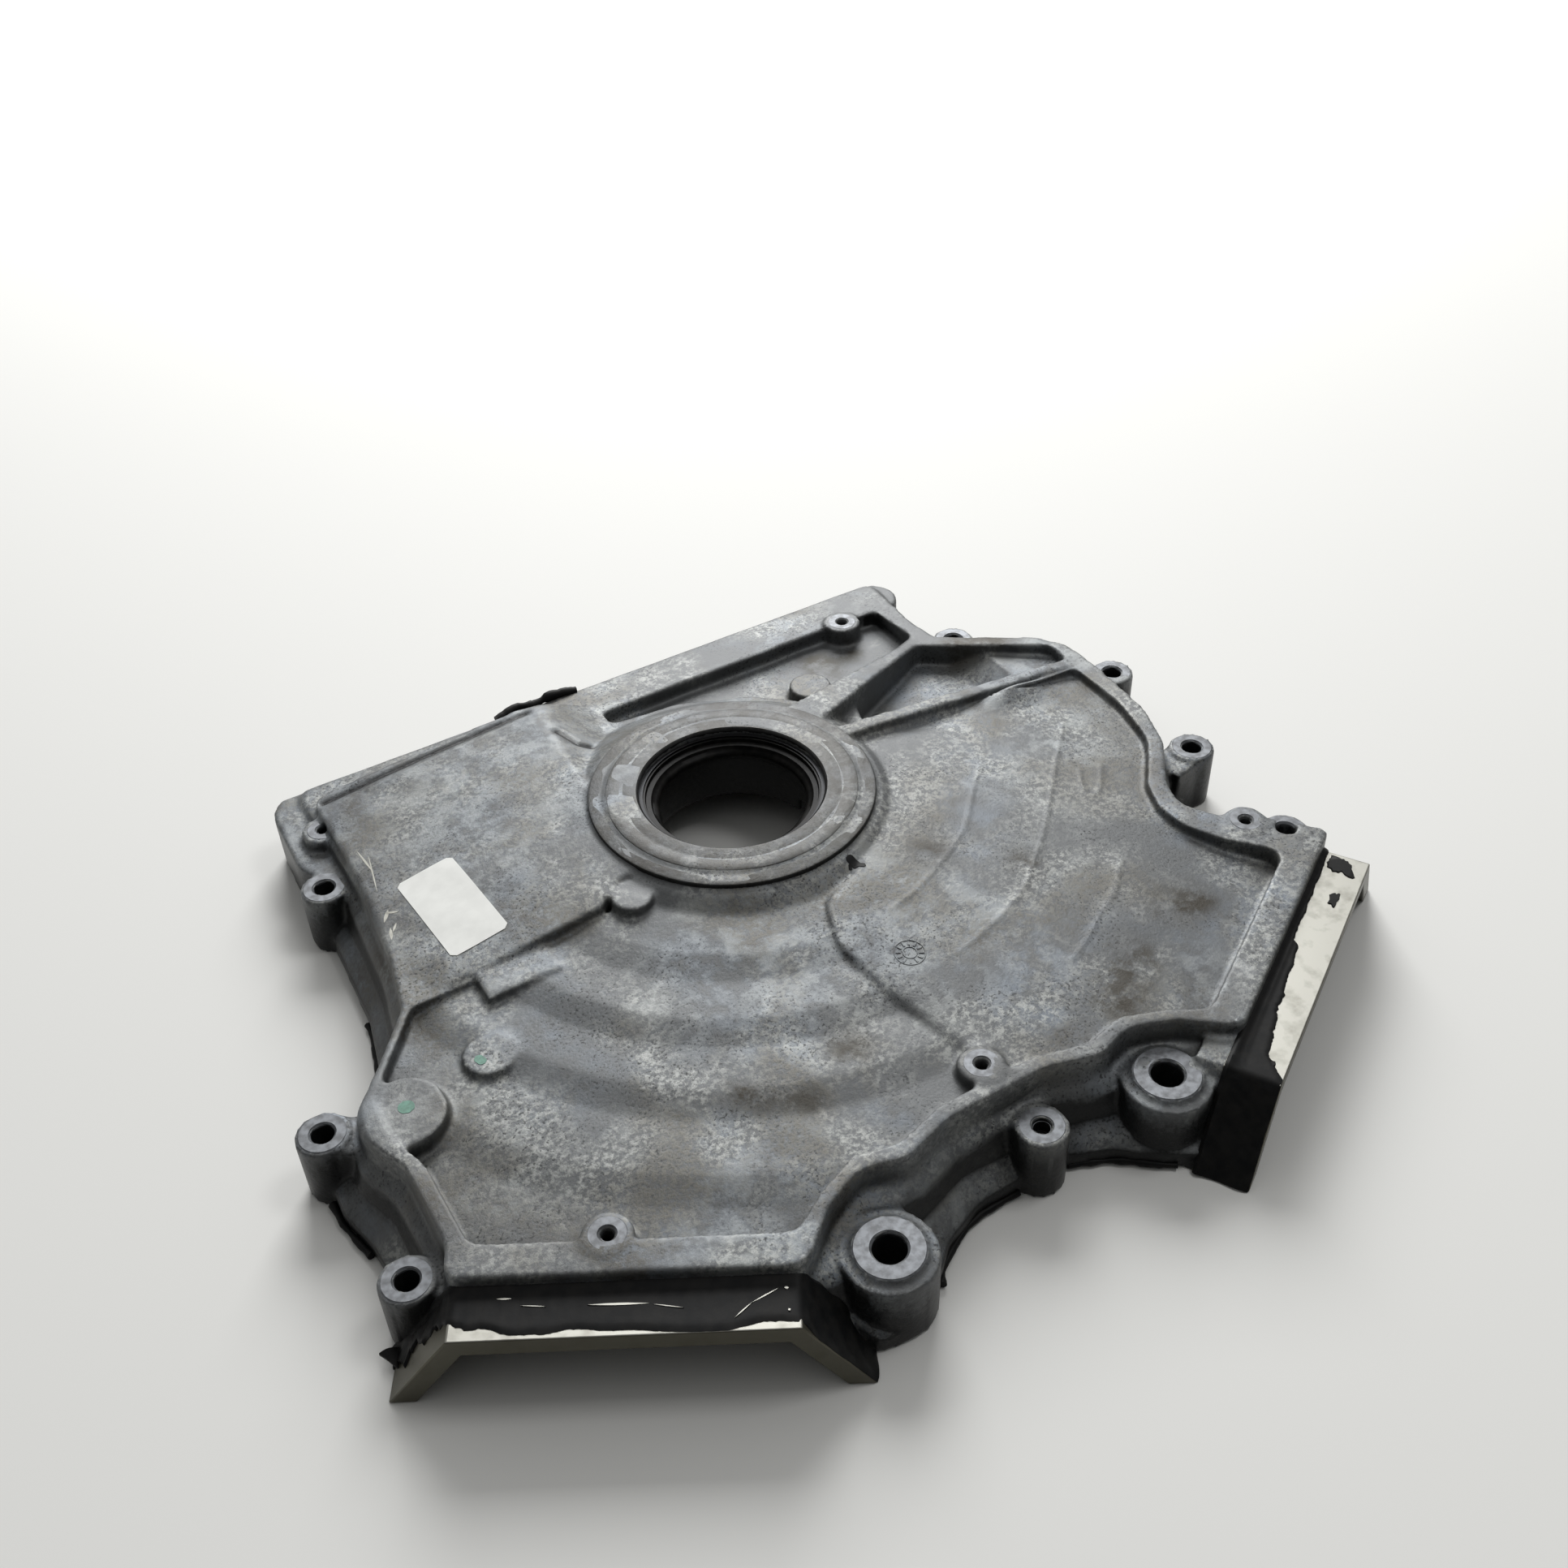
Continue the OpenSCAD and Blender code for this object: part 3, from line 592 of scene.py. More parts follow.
# Painted shade in the bore: every point inside it, below the ring's top, goes black
in_bore = (np.hypot(co[:, 0], co[:, 1]) < BORE_REACH) * (co[:, 2] < BORE_TOP)
low = np.clip((LOW_TOP - co[:, 2]) / LOW_FADE, 0, 1)
# Grime and painted shade: the groove along the field's far edge and the notch at the hub are darkened
in_groove = hump(distance_to_path(co[:, :2], FIELD_GROOVE), 1.7) * (co[:, 2] > FORM_FLOOR)
in_groove += hump(distance_to_path(co[:, :2], HUB_NOTCH), 1.8) * (co[:, 2] > FORM_FLOOR)
# Less painted corner shade near the panel step
at_step = hump(distance_to_path(co[:, :2], PANEL_STEP), 9.0) * (co[:, 2] > PANEL_FOOT)
corner_depth *= 1 - STEP_SHADE_CUT * at_step
left_wall = POCKET_CORNER[0] - POCKET_LEAN * (co[:, 1] - POCKET_CORNER[1])
in_pocket = (co[:, 0] > left_wall) * (co[:, 0] < POCKET_RIGHT)
in_pocket = in_pocket * (co[:, 1] > POCKET_FAR) * (co[:, 1] < POCKET_NEAR)
low *= 1 - POCKET_WALL_DARK_CUT * in_pocket
grease_and_shade_level = (
    CORNER_SHADE * corner_depth * (1 - POCKET_CORNER_SHADE_CUT * in_pocket)
    + WALL_GREASE_AND_SHADE * wall * low
    + UNDERSIDE_SHADE * inside
    + in_bore
    + GROOVE_GRIME_AND_SHADE * in_groove
)
paint(skin, "grease_and_shade", grease_and_shade_level)
print("Grease up to %.2f" % grease_and_shade_level.max())

# %% Worn edges
WEAR_START = 0.06
WEAR_RANGE = 0.2
edges = np.array([tuple(e.vertices) for e in skin.data.edges])
lean = np.zeros_like(co)
for one, other in ((0, 1), (1, 0)):
    np.add.at(lean, edges[:, one], co[edges[:, other]] - co[edges[:, one]])
lean /= np.maximum(1, np.bincount(edges.ravel(), minlength=len(co)))[:, None]
stands_out = -(lean * normals).sum(axis=1)
wear_level = np.clip((stands_out - WEAR_START) / WEAR_RANGE, 0, 1) * np.clip(normals[:, 2] / 0.5, 0, 1)
paint(skin, "wear", wear_level)
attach(skin, "root")
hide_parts("cover_casting")
print("Worn points", (wear_level > 0.5).sum())

# %% [markdown]
# ## Turned faces
# The seal ring and the holes were cut on a machine, so their edges stay crisp. A turned face is a profile
# swept once round an axis. Each profile is closed, so each face is a thin closed ring that lies on the
# skin and covers the soft edge under it.


# %% Lathe helper and the seal ring
def lathe(name, profile, steps, material, wave=None):
    """A closed ring: profile is a closed loop of (radius, height) in millimetres."""
    points, faces = [], []
    n = len(profile)
    for i in range(steps):
        angle = 2 * math.pi * i / steps
        for k, (r, z) in enumerate(profile):
            r += wave(k, angle) if wave else 0.0
            points.append((r * math.cos(angle), r * math.sin(angle), z))
    for i in range(steps):
        j = (i + 1) % steps
        for k in range(n):
            m = (k + 1) % n
            faces.append((i * n + k, j * n + k, j * n + m, i * n + m))
    return closed_piece(name, points, faces, material)


RING_PROFILE = (
    (39.05, 46.5),
    (39.05, 51.0),
    (40.1, 52.08),
    (45.6, 52.08),
    (46.4, 51.85),
    (47.2, 52.08),
    (52.4, 52.08),
    (52.9, 51.85),
    (53.1, 51.2),
    (53.7, 51.08),
    (59.2, 51.08),
    (60.0, 50.8),
    (60.35, 50.2),
    (60.45, 46.5),
)
RING_STEPS = 192
RING_BORE = 39.5
RING_SIDE = 60.2
RING_FILM = 0.3
RING_SIDE_SHADE = 0.7
RING_STAIN = 0.7
ring_face = lathe("seal_ring_face", RING_PROFILE, RING_STEPS, cast_aluminium)
reach = np.array([math.hypot(v.co.x, v.co.y) / MM for v in ring_face.data.vertices])
# Painted shade: the ring's bore goes black and its outer side dark, while the rest keeps a thin film of
# grease
ring_shade = (reach < RING_BORE) + RING_SIDE_SHADE * (reach > RING_SIDE)
paint(ring_face, "grease_and_shade", np.maximum(RING_FILM, ring_shade))
paint(ring_face, "stain", np.full(len(reach), RING_STAIN))
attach(ring_face, "root")
print("Ring face", len(ring_face.data.polygons), "faces")

# %% [markdown]
# ## Bolt holes
# Seven bolt holes, two stud holes and six tapped holes repeat one shape: a faced ring with a chamfer, over
# a bore. Geometry Nodes put one copy of it on each point of a small mesh, so a hole is moved by changing
# one line.

# %% Tools for Geometry Nodes
INSTANCES = "GeometryNodeInstanceOnPoints"
REALIZE = "GeometryNodeRealizeInstances"
SET_MATERIAL = "GeometryNodeSetMaterial"
CIRCLE = "GeometryNodeCurvePrimitiveCircle"
SWEEP = "GeometryNodeCurveToMesh"


def tree_with(name, sockets):
    """An empty tree with named inputs: the tree, their identifiers, and the group input's outputs."""
    made = bpy.data.node_groups.new(name, "GeometryNodeTree")
    made.interface.new_socket("Geometry", in_out="INPUT", socket_type="NodeSocketGeometry")
    names = {}
    for socket, kind in sockets:
        names[socket] = made.interface.new_socket(socket, in_out="INPUT", socket_type=kind).identifier
    made.interface.new_socket("Geometry", in_out="OUTPUT", socket_type="NodeSocketGeometry")
    return made, names, made.nodes.new("NodeGroupInput").outputs


def close_tree(made, geometry, material):
    """Ends a tree: real geometry with its material goes to the output."""
    real = add(made, REALIZE, {0: geometry})
    painted = add(made, SET_MATERIAL, {"Geometry": real, "Material": material})
    made.links.new(painted, made.nodes.new("NodeGroupOutput").inputs[0])


def run_tree(piece, made, values):
    """Sets the tree's inputs by identifier, turns its result into plain mesh and takes it off."""
    modifier = piece.modifiers.new("nodes", "NODES")
    modifier.node_group = made
    for key, value in values.items():
        modifier[key] = value
    finished(piece)
    smooth(piece.data)
    return piece


def wire_object(name, points, links=()):
    """Bare points in millimetres, and the lines between them, for a tree to work on."""
    mesh = bpy.data.meshes.new(name)
    mesh.from_pydata([tuple(c * MM for c in p) for p in points], links, [])
    return new_object(name, mesh)


# %% Places of the holes: x, y and the height of the faced top of each
RIM_TOP = 39.0
BOSS_TOP = 28.0
VEE_FLOOR = 177.02


def bank_point(side, distance, along):
    """A point of one bank: distance from the crankshaft axis, and place along the deck edge."""
    return (
        side * (distance * math.sin(BANK) + along * math.cos(BANK)),
        distance * math.cos(BANK) - along * math.sin(BANK),
    )


BOLT_HOLES = (
    (*bank_point(1, DECK - 8.1, 107.4), BOSS_TOP),
    (205, 62, BOSS_TOP),
    (161, -62, BOSS_TOP),
    (*bank_point(-1, DECK - 16.2, 91.3), RIM_TOP - 1.5),
    (-199, 65, BOSS_TOP),
    (-207, 1, BOSS_TOP),
    (-163, -66, BOSS_TOP - 2),
)
STUD_HOLES = (
    (*bank_point(1, DECK - 11.3, -50.1), BOSS_TOP + 2),
    (*bank_point(-1, DECK - 18.8, -49.2), BOSS_TOP + 2),
)
SMALL_TAPS = (
    (150, -92, 33),
    (-121, -102, 32),
    (-173, 124, RIM_TOP + 0.5),
    (-3, VEE_FLOOR - 6.5, RIM_TOP + 0.5),
    (*bank_point(1, DECK - 14.5, 41.3), RIM_TOP + 0.5),
)
VEE_TAP = ((-10, VEE_FLOOR + 20, BOSS_TOP),)
print("Holes", len(BOLT_HOLES + STUD_HOLES + SMALL_TAPS + VEE_TAP))

# %% Faced holes
# Name, holes, then radius of the bore, radius of the face and depth of the bore
FACE_SIZES = (
    ("bolt_hole_faces", BOLT_HOLES, 4.25, 9.0, 14.0),
    ("stud_hole_faces", STUD_HOLES, 6.0, 12.6, 16.0),
    ("small_tap_faces", SMALL_TAPS, 2.6, 7.0, 13.0),
    ("vee_tap_face", VEE_TAP, 3.5, 8.6, 18.0),
)
HOLE_STEPS = 48
CHAMFER = 0.8
FACE_LIFT = 0.1
FACE_EDGE = 1.6
FACE_BREAK = 0.6
BREAK_DROP = 0.4

copies, copy_in, start = tree_with(
    "copy_on_points", [("Shape", "NodeSocketObject"), ("Finish", "NodeSocketMaterial")]
)
shape = add(copies, "GeometryNodeObjectInfo", {"Object": start["Shape"]}, "Geometry")
on_points = add(copies, INSTANCES, {"Points": start["Geometry"], "Instance": shape})
close_tree(copies, on_points, start["Finish"])

for name, holes, bore, outer, deep in FACE_SIZES:
    profile = (
        (bore, -deep),
        (bore, -CHAMFER),
        (bore + CHAMFER, FACE_LIFT),
        (outer - FACE_BREAK, FACE_LIFT),
        (outer, -BREAK_DROP),
        (outer, -FACE_EDGE),
        (bore + FACE_EDGE, -FACE_EDGE),
        (bore + FACE_EDGE, -deep),
    )
    pattern = lathe(name + "_pattern", profile, HOLE_STEPS, finish["machined_aluminium"])
    values = {copy_in["Shape"]: pattern, copy_in["Finish"]: finish["machined_aluminium"]}
    hole_faces = run_tree(wire_object(name, holes), copies, values)
    bpy.data.objects.remove(pattern)
    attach(hole_faces, "root")
    print(name, len(holes), "holes,", len(hole_faces.data.polygons), "faces")

# %% [markdown]
# ## Threads
# Six of the holes are tapped. A thread is a real helix: the Spiral node draws it, and Curve to Mesh sweeps
# a three-sided tooth along it, once for every hole.

# %% Threads
threads, thread_in, start = tree_with(
    "threads_on_points",
    [
        ("Radius", "NodeSocketFloat"),
        ("Pitch", "NodeSocketFloat"),
        ("Turns", "NodeSocketFloat"),
        ("Finish", "NodeSocketMaterial"),
    ],
)
height = add(threads, MATH, {0: start["Pitch"], 1: start["Turns"]}, operation="MULTIPLY")
spiral = {"Start Radius": start["Radius"], "End Radius": start["Radius"], "Rotations": start["Turns"]}
helix = add(threads, "GeometryNodeCurveSpiral", {**spiral, "Height": height, "Resolution": 28})
tooth_size = add(threads, MATH, {0: start["Pitch"], 1: 0.5}, operation="MULTIPLY")
tooth = add(threads, CIRCLE, {"Resolution": 3, "Radius": tooth_size})
wound = add(threads, SWEEP, {"Curve": helix, "Profile Curve": tooth, "Fill Caps": True})
on_points = add(threads, INSTANCES, {"Points": start["Geometry"], "Instance": wound})
close_tree(threads, on_points, start["Finish"])

THREAD_START = 1.2
# Name, holes, then radius, pitch and number of turns
THREAD_SIZES = (("small_threads", SMALL_TAPS, 2.75, 1.0, 11.0), ("vee_thread", VEE_TAP, 3.7, 1.25, 12.0))
for name, holes, radius, pitch, turns in THREAD_SIZES:
    feet = [(x, y, z - pitch * turns - THREAD_START) for x, y, z in holes]
    values = {
        thread_in["Radius"]: radius * MM,
        thread_in["Pitch"]: pitch * MM,
        thread_in["Turns"]: turns,
        thread_in["Finish"]: finish["machined_aluminium"],
    }
    thread = run_tree(wire_object(name, feet), threads, values)
    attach(thread, "root")
    print(name, len(thread.data.polygons), "faces")

# %% [markdown]
# ## The spigots
# The two spigots are milled all round, so they are brighter than the casting and their edges are only just
# broken. Each is a bridge of one section pushed along its bank, with a small Bevel on its edges. The skin
# was sunk a little there, so that it stays under these crisp faces.

# %% Milled spigots
SPIGOT_LENGTH = 19.0
SPIGOT_TOP = 33.0
SPIGOT_WALL = 7.5
SPIGOT_LEAN = 23.5 / SPIGOT_TOP
SPIGOT_ROOT = 2.0
BROKEN_EDGE = 0.5
SPANS = {1: (-44.0, 114.0), -1: (-63.0, 114.0)}
SHELL_LIFT = 0.06
# Each end of the bridge is three quads between its outer and its inner line
END_QUADS = ((0, 1, 6, 7), (1, 2, 5, 6), (2, 3, 4, 5))


def spigot_section(span, margin):
    """The spigot's section across its bank, moved inwards by a margin, as (along, height)."""
    side = margin * math.sqrt(1 + SPIGOT_LEAN**2)
    top = SPIGOT_TOP - margin
    return [
        (span[0] + side, 0.0),
        (span[0] + side + SPIGOT_LEAN * top, top),
        (span[1] - side - SPIGOT_LEAN * top, top),
        (span[1] - side, 0.0),
    ]


for side, label in ((1, "right"), (-1, "left")):
    loop = spigot_section(SPANS[side], -SHELL_LIFT) + spigot_section(SPANS[side], SPIGOT_WALL)[::-1]
    n = len(loop)
    points = []
    for distance in (DECK - SPIGOT_ROOT, DECK + SPIGOT_LENGTH + SHELL_LIFT):
        points += [(*bank_point(side, distance, along), height) for along, height in loop]
    faces = [(k, (k + 1) % n, n + (k + 1) % n, n + k) for k in range(n)]
    for first in (0, n):
        faces += [tuple(first + k for k in quad) for quad in END_QUADS]
    spigot = closed_piece(label + "_spigot", points, faces, milled_aluminium)
    bevel = spigot.modifiers.new("broken_edges", "BEVEL")
    bevel.width = BROKEN_EDGE * MM
    bevel.segments = 2
    finished(spigot)
    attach(spigot, "root")
    print(spigot.name, len(spigot.data.polygons), "faces")

# %% [markdown]
# ## Torn sealant on the spigots
# When the cover was pulled off, the silicone tore. What stayed is a thin black skin that starts in a thick
# line at the deck edge and ends in a ragged edge. It is a sheet over the spigot's section: each column of
# points runs out from the deck edge as far as the film still reaches there. Single islands of film and a
# few bright scratches lie on the top.


# %% Sheet helpers
def closed_grid(top, under):
    """Points and faces of a closed sheet between two grids of points."""
    rows, cols = len(top), len(top[0])
    n = rows * cols
    points = [p for row in top for p in row] + [p for row in under for p in row]
    faces = []
    for base in (0, n):
        for j in range(rows - 1):
            for i in range(cols - 1):
                a = base + j * cols + i
                faces.append((a, a + 1, a + cols + 1, a + cols))
    rim = list(range(cols))
    rim += [j * cols + cols - 1 for j in range(1, rows)]
    rim += [(rows - 1) * cols + i for i in range(cols - 2, -1, -1)]
    rim += [j * cols for j in range(rows - 2, 0, -1)]
    for a, b in zip(rim, rim[1:] + rim[:1]):
        faces.append((a, b, n + b, n + a))
    return points, faces


def merged(parts):
    """Points and faces of several parts as one."""
    points, faces = [], []
    for more_points, more_faces in parts:
        faces += [tuple(len(points) + k for k in face) for face in more_faces]
        points += more_points
    return points, faces


def softened(values, width):
    """A row of values, each replaced by the mean of those around it."""
    return np.convolve(values, np.ones(width) / width, "same")


def section_walk(span, step=0.9):
    """Points along a spigot's outer section with outward normals, its corners slightly rounded."""
    corners = np.array(spigot_section(span, -SHELL_LIFT))
    pieces = []
    for a, b in zip(corners[:-1], corners[1:]):
        count = max(2, int(np.linalg.norm(b - a) / step))
        pieces.append(a + (b - a) * np.linspace(0, 1, count, endpoint=False)[:, None])
    walk = np.vstack(pieces + [corners[-1:]])
    for _ in range(3):
        walk[1:-1] = 0.25 * walk[:-2] + 0.5 * walk[1:-1] + 0.25 * walk[2:]
    along = np.gradient(walk, axis=0)
    normal = np.stack([-along[:, 1], along[:, 0]], axis=1)
    return walk, normal / np.linalg.norm(normal, axis=1)[:, None]


# %% The film: its reach from the deck edge and its raggedness, at places along the deck edge
FILM_ROWS = 15
FILM_ROOT = 1.5
FILM_DEPTH = 0.5
FILM_LEAST = 0.8
FILM_END_GAP = 0.1
FILM_BED = 0.05
SLOPE_WRINKLE = 0.25
# Thick lines in the film: distance from the deck edge, half width and height
FILM_LINES = ((0.0, 1.6, 1.1), (3.2, 0.7, 0.2))
RIGHT_REACH = (
    (-44, 18.8, 0.1),
    (-26, 18.8, 0.1),
    (-21, 17.0, 0.3),
    (-15, 16.1, 0.3),
    (-8, 16.2, 0.3),
    (-2, 17.4, 0.2),
    (2, 18.8, 0.1),
    (13, 18.7, 0.1),
    (23, 17.9, 0.15),
    (38, 16.9, 0.2),
    (53, 16.1, 0.3),
    (61, 17.7, 0.2),
    (72, 17.1, 0.3),
    (75, 15.7, 0.4),
    (84, 14.7, 0.5),
    (91, 12.6, 0.6),
    (96, 9.0, 2.0),
    (114, 8.0, 2.5),
)
LEFT_REACH = (
    (-63, 18.8, 0.1),
    (-37, 18.8, 0.1),
    (-33, 15.0, 0.6),
    (-28, 10.5, 0.9),
    (-18, 10.4, 0.8),
    (-9, 9.2, 0.6),
    (1, 7.6, 0.5),
    (12, 7.2, 0.4),
    (26, 7.0, 0.4),
    (31, 6.4, 0.4),
    (34, 3.2, 0.4),
    (60, 2.8, 0.3),
    (92, 2.4, 0.3),
    (114, 4.0, 0.4),
)


def film_sheet(side, table):
    """Closed torn sheet over one spigot."""
    walk, normal = section_walk(SPANS[side])
    n = len(walk)
    places, reach, ragged = zip(*table)
    tear = RNG.uniform(-0.3, 0.3, n) + softened(RNG.normal(0, 2.0, n), 7)
    lengths = np.interp(walk[:, 0], places, reach) + np.interp(walk[:, 0], places, ragged) * tear
    lengths = np.clip(lengths, FILM_LEAST, SPIGOT_LENGTH - FILM_END_GAP) + FILM_ROOT
    swell = softened(RNG.normal(0, 0.3, n), 15)
    top, under = [], []
    for i in range(n):
        rows = {0: [], 1: []}
        on_slope = walk[i, 1] < SPIGOT_TOP - 2
        for k in range(FILM_ROWS + 1):
            out = lengths[i] * k / FILM_ROWS
            thick = (FILM_DEPTH + swell[i]) * min(1.0, (FILM_ROWS - k) / 1.5 + 0.15)
            past_edge = out - FILM_ROOT
            thick += sum(high * math.exp(-(((past_edge - at) / wide) ** 2)) for at, wide, high in FILM_LINES)
            wrinkle = 1 + math.sin(0.8 * walk[i, 1] + 0.5 * out)
            thick += on_slope * SLOPE_WRINKLE * wrinkle * (k < FILM_ROWS)
            for layer, lift in enumerate((FILM_BED, 2 * FILM_BED + thick)):
                along, height = walk[i] + normal[i] * lift
                # Nothing reaches below the block face
                height = max(height, 0.02 + 0.1 * layer)
                rows[layer].append((*bank_point(side, DECK - FILM_ROOT + out, along), height))
        under.append(rows[0])
        top.append(rows[1])
    return closed_grid(top, under)


ISLAND_STEPS = 30
# Height and relative size of an island's underside and top
ISLAND_LAYERS = ((0.07, 1.0), (0.5, 0.9))


def film_island(side, along, out, long, wide, turn):
    """A torn island of film on a spigot's top face."""
    steps = ISLAND_STEPS
    points, faces = [], []
    bites = 1 + softened(np.tile(RNG.uniform(-0.55, 0.55, steps), 3), 3)[steps : 2 * steps]
    for lift, share in ISLAND_LAYERS:
        for k, bite in enumerate(bites):
            angle = 2 * math.pi * k / steps
            a = along + long * bite * share * math.cos(angle + turn)
            o = out + wide * bite * share * math.sin(angle)
            points.append((*bank_point(side, DECK + o, a), SPIGOT_TOP + lift))
    for k in range(steps):
        j = (k + 1) % steps
        faces.append((k, j, steps + j, steps + k))
    faces += [tuple(range(steps)), tuple(range(2 * steps - 1, steps - 1, -1))]
    return points, faces


# %% The two films
right_parts = [film_sheet(1, RIGHT_REACH)]
left_parts = [
    film_sheet(-1, LEFT_REACH),
    film_island(-1, 84, 9.0, 6.0, 5.2, 0.3),
    film_island(-1, 63.5, 11.5, 4.0, 2.0, 0.0),
    film_island(-1, -31, 13.5, 1.4, 1.0, 0.5),
]
# A loose flap stands out past the far end of the right film
FLAP_THICKNESS = 0.9
flap = []
for lift in (FLAP_THICKNESS, 0.0):
    rows = []
    for t in np.linspace(0, 1, 7):
        near = bank_point(1, DECK + 1.0 + 2.0 * t, 112.5 + 6.5 * t)
        far = bank_point(1, DECK + 9.0 - 5.6 * t, 111.5 + 7.5 * t)
        near_height = 2.6 + 1.5 * math.sin(3 * t) + lift
        far_height = 2.2 + 1.0 * math.sin(2.5 * t) + lift
        rows.append([(*near, near_height), (*far, far_height)])
    flap.append(rows)
right_parts.append(closed_grid(*flap))
for name, parts, node in (
    ("right_sealant_film", right_parts, "right_bank_sealant"),
    ("left_sealant_film", left_parts, "left_bank_sealant"),
):
    film = closed_piece(name, *merged(parts), finish["silicone_sealant"])
    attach(film, "root")
    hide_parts(node)
    print(name, len(film.data.polygons), "faces")


# %% Bright scratches in the right film: from, to (along and out), and width
def sliver(ends, width, place):
    """A closed thin lens between two points. place turns a point of the plan into one of the part."""
    (a0, b0), (a1, b1) = ends
    reach = math.hypot(a1 - a0, b1 - b0)
    across = (-(b1 - b0) / reach, (a1 - a0) / reach)
    grids = ([], [])
    for edge in (-0.5, 0.5):
        rows = ([], [])
        for t in np.linspace(0, 1, 9):
            swing = edge * width * math.sin(math.pi * t)
            a = a0 + (a1 - a0) * t + across[0] * swing
            b = b0 + (b1 - b0) * t + across[1] * swing
            for layer in (0, 1):
                rows[layer].append(place(a, b, layer))
        grids[0].append(rows[0])
        grids[1].append(rows[1])
    return closed_grid(grids[1], grids[0])


SCRATCHES = (
    ((76, 4.6), (71, 4.7), 0.7),
    ((68, 7.3), (60, 8.0), 0.3),
    ((46.8, 8.0), (27.3, 8.3), 0.8),
    ((26, 8.7), (16.4, 10.4), 0.3),
    ((0.3, 14.6), (-5.1, 9.5), 0.4),
    ((-5, 9.6), (-13.8, 4.6), 0.45),
    ((-15.4, 4.6), (-16.9, 4.8), 0.9),
    ((-16.6, 12.2), (-17.0, 13.0), 0.8),
)
SCRATCH_LIFTS = (0.3, 0.9)


def on_film(along, out, layer):
    return (*bank_point(1, DECK + out, along), SPIGOT_TOP + SCRATCH_LIFTS[layer])


scratch_parts = [sliver((a, b), width, on_film) for a, b, width in SCRATCHES]
scratches = closed_piece("film_scratches", *merged(scratch_parts), milled_aluminium)
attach(scratches, "root")
print("Scratches", len(SCRATCHES))

# %% [markdown]
# ## The squeezed bead
# Where the cover was pressed on the block, sealant came out along the flange as an uneven bead. It follows
# a path, so Geometry Nodes make it: the path is resampled, noise changes its radius, and a round profile
# is swept along it.

# %% Bead along the flange
BEAD_RUNS = (
    ((168.5, -4), (169.5, 4), (172, 16), (175.5, 26), (183, 36), (192.5, 45)),
    ((210, 72), (210, 82), (208, 92), (206, 100)),
    ((46, 216.5), (42, 211.5), (36, 207.5), (27, 203), (18, 200.6), (6, 200.4), (1, 200.4)),
    ((-21, 200.8), (-29, 204), (-36, 207.5), (-42, 212), (-48, 217.5), (-54, 222)),
)
BEAD_HEIGHT = 1.7
BEAD_RADIUS = 1.5
BEAD_STEP = 1.6

bead_tree, bead_in, start = tree_with(
    "uneven_bead",
    [("Radius", "NodeSocketFloat"), ("Step", "NodeSocketFloat"), ("Finish", "NodeSocketMaterial")],
)
line = add(bead_tree, "GeometryNodeMeshToCurve", {"Mesh": start["Geometry"]})
even = add(bead_tree, "GeometryNodeResampleCurve", {"Curve": line, "Length": start["Step"]}, mode="LENGTH")
lumps = add(bead_tree, NOISE, {"Scale": per_mm(7), "Detail": 3})
lump_size = add(bead_tree, RANGE, {0: lumps, 1: 0.3, 2: 0.7, 3: 0.55, 4: 1.35})
tube = add(bead_tree, CIRCLE, {"Resolution": 10, "Radius": start["Radius"]})
swept = add(bead_tree, SWEEP, {"Curve": even, "Profile Curve": tube, "Scale": lump_size, "Fill Caps": True})
close_tree(bead_tree, swept, start["Finish"])

points, links = [], []
for run in BEAD_RUNS:
    links += [(len(points) + k, len(points) + k + 1) for k in range(len(run) - 1)]
    points += [(x, y, BEAD_HEIGHT) for x, y in run]
values = {
    bead_in["Radius"]: BEAD_RADIUS * MM,
    bead_in["Step"]: BEAD_STEP * MM,
    bead_in["Finish"]: finish["silicone_sealant"],
}
bead = run_tree(wire_object("flange_bead", points, links), bead_tree, values)
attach(bead, "root")
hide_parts("flange_sealant")
print("Bead", len(bead.data.polygons), "faces")

# %% [markdown]
# ## A rag on the oil pan edge
# On the far edge a torn rope of sealant from the oil pan still hangs on the rail. The same tree makes it,
# with a thicker profile and a path that waves up and down.

# %% Rope of sealant on the rail
RAG_RUN = (
    (54, -127.6, 28.2),
    (50, -128.4, 28.8),
    (46, -129.0, 29.8),
    (42, -129.2, 30.4),
    (38, -129.0, 29.4),
    (35, -128.8, 28.6),
    (31, -129.0, 29.2),
    (26, -129.2, 30.0),
    (20, -128.8, 29.6),
    (13, -127.8, 28.6),
)
RAG_RADIUS = 2.3
RAG_STEP = 1.2
links = [(k, k + 1) for k in range(len(RAG_RUN) - 1)]
values[bead_in["Radius"]] = RAG_RADIUS * MM
values[bead_in["Step"]] = RAG_STEP * MM
rag = run_tree(wire_object("pan_edge_rag", RAG_RUN, links), bead_tree, values)
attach(rag, "root")
print("Rag", len(rag.data.polygons), "faces")

# %% [markdown]
# ## The shaft seal
# The seal's rubber has a thick outer part, a groove for its spring and a thin lip. This used lip has gone
# wavy. The profile is turned like the ring, and a wave is added to the radius of the lip's own points. The
# steel case keeps its CAD shape and only gets its finish.

# %% Seal lip and case
LIP_PROFILE = (
    (37.45, 40.6),
    (37.45, 48.2),
    (36.6, 48.2),
    (36.2, 46.6),
    (34.2, 46.2),
    (33.6, 45.0),
    (32.4, 44.4),
    (31.4, 43.6),
    (31.0, 42.4),
    (31.2, 41.4),
    (32.6, 40.6),
)
LIP_POINTS = range(6, 10)
LIP_STEPS = 160
LIP_SAG = 0.9
LIP_RIPPLE = 0.4


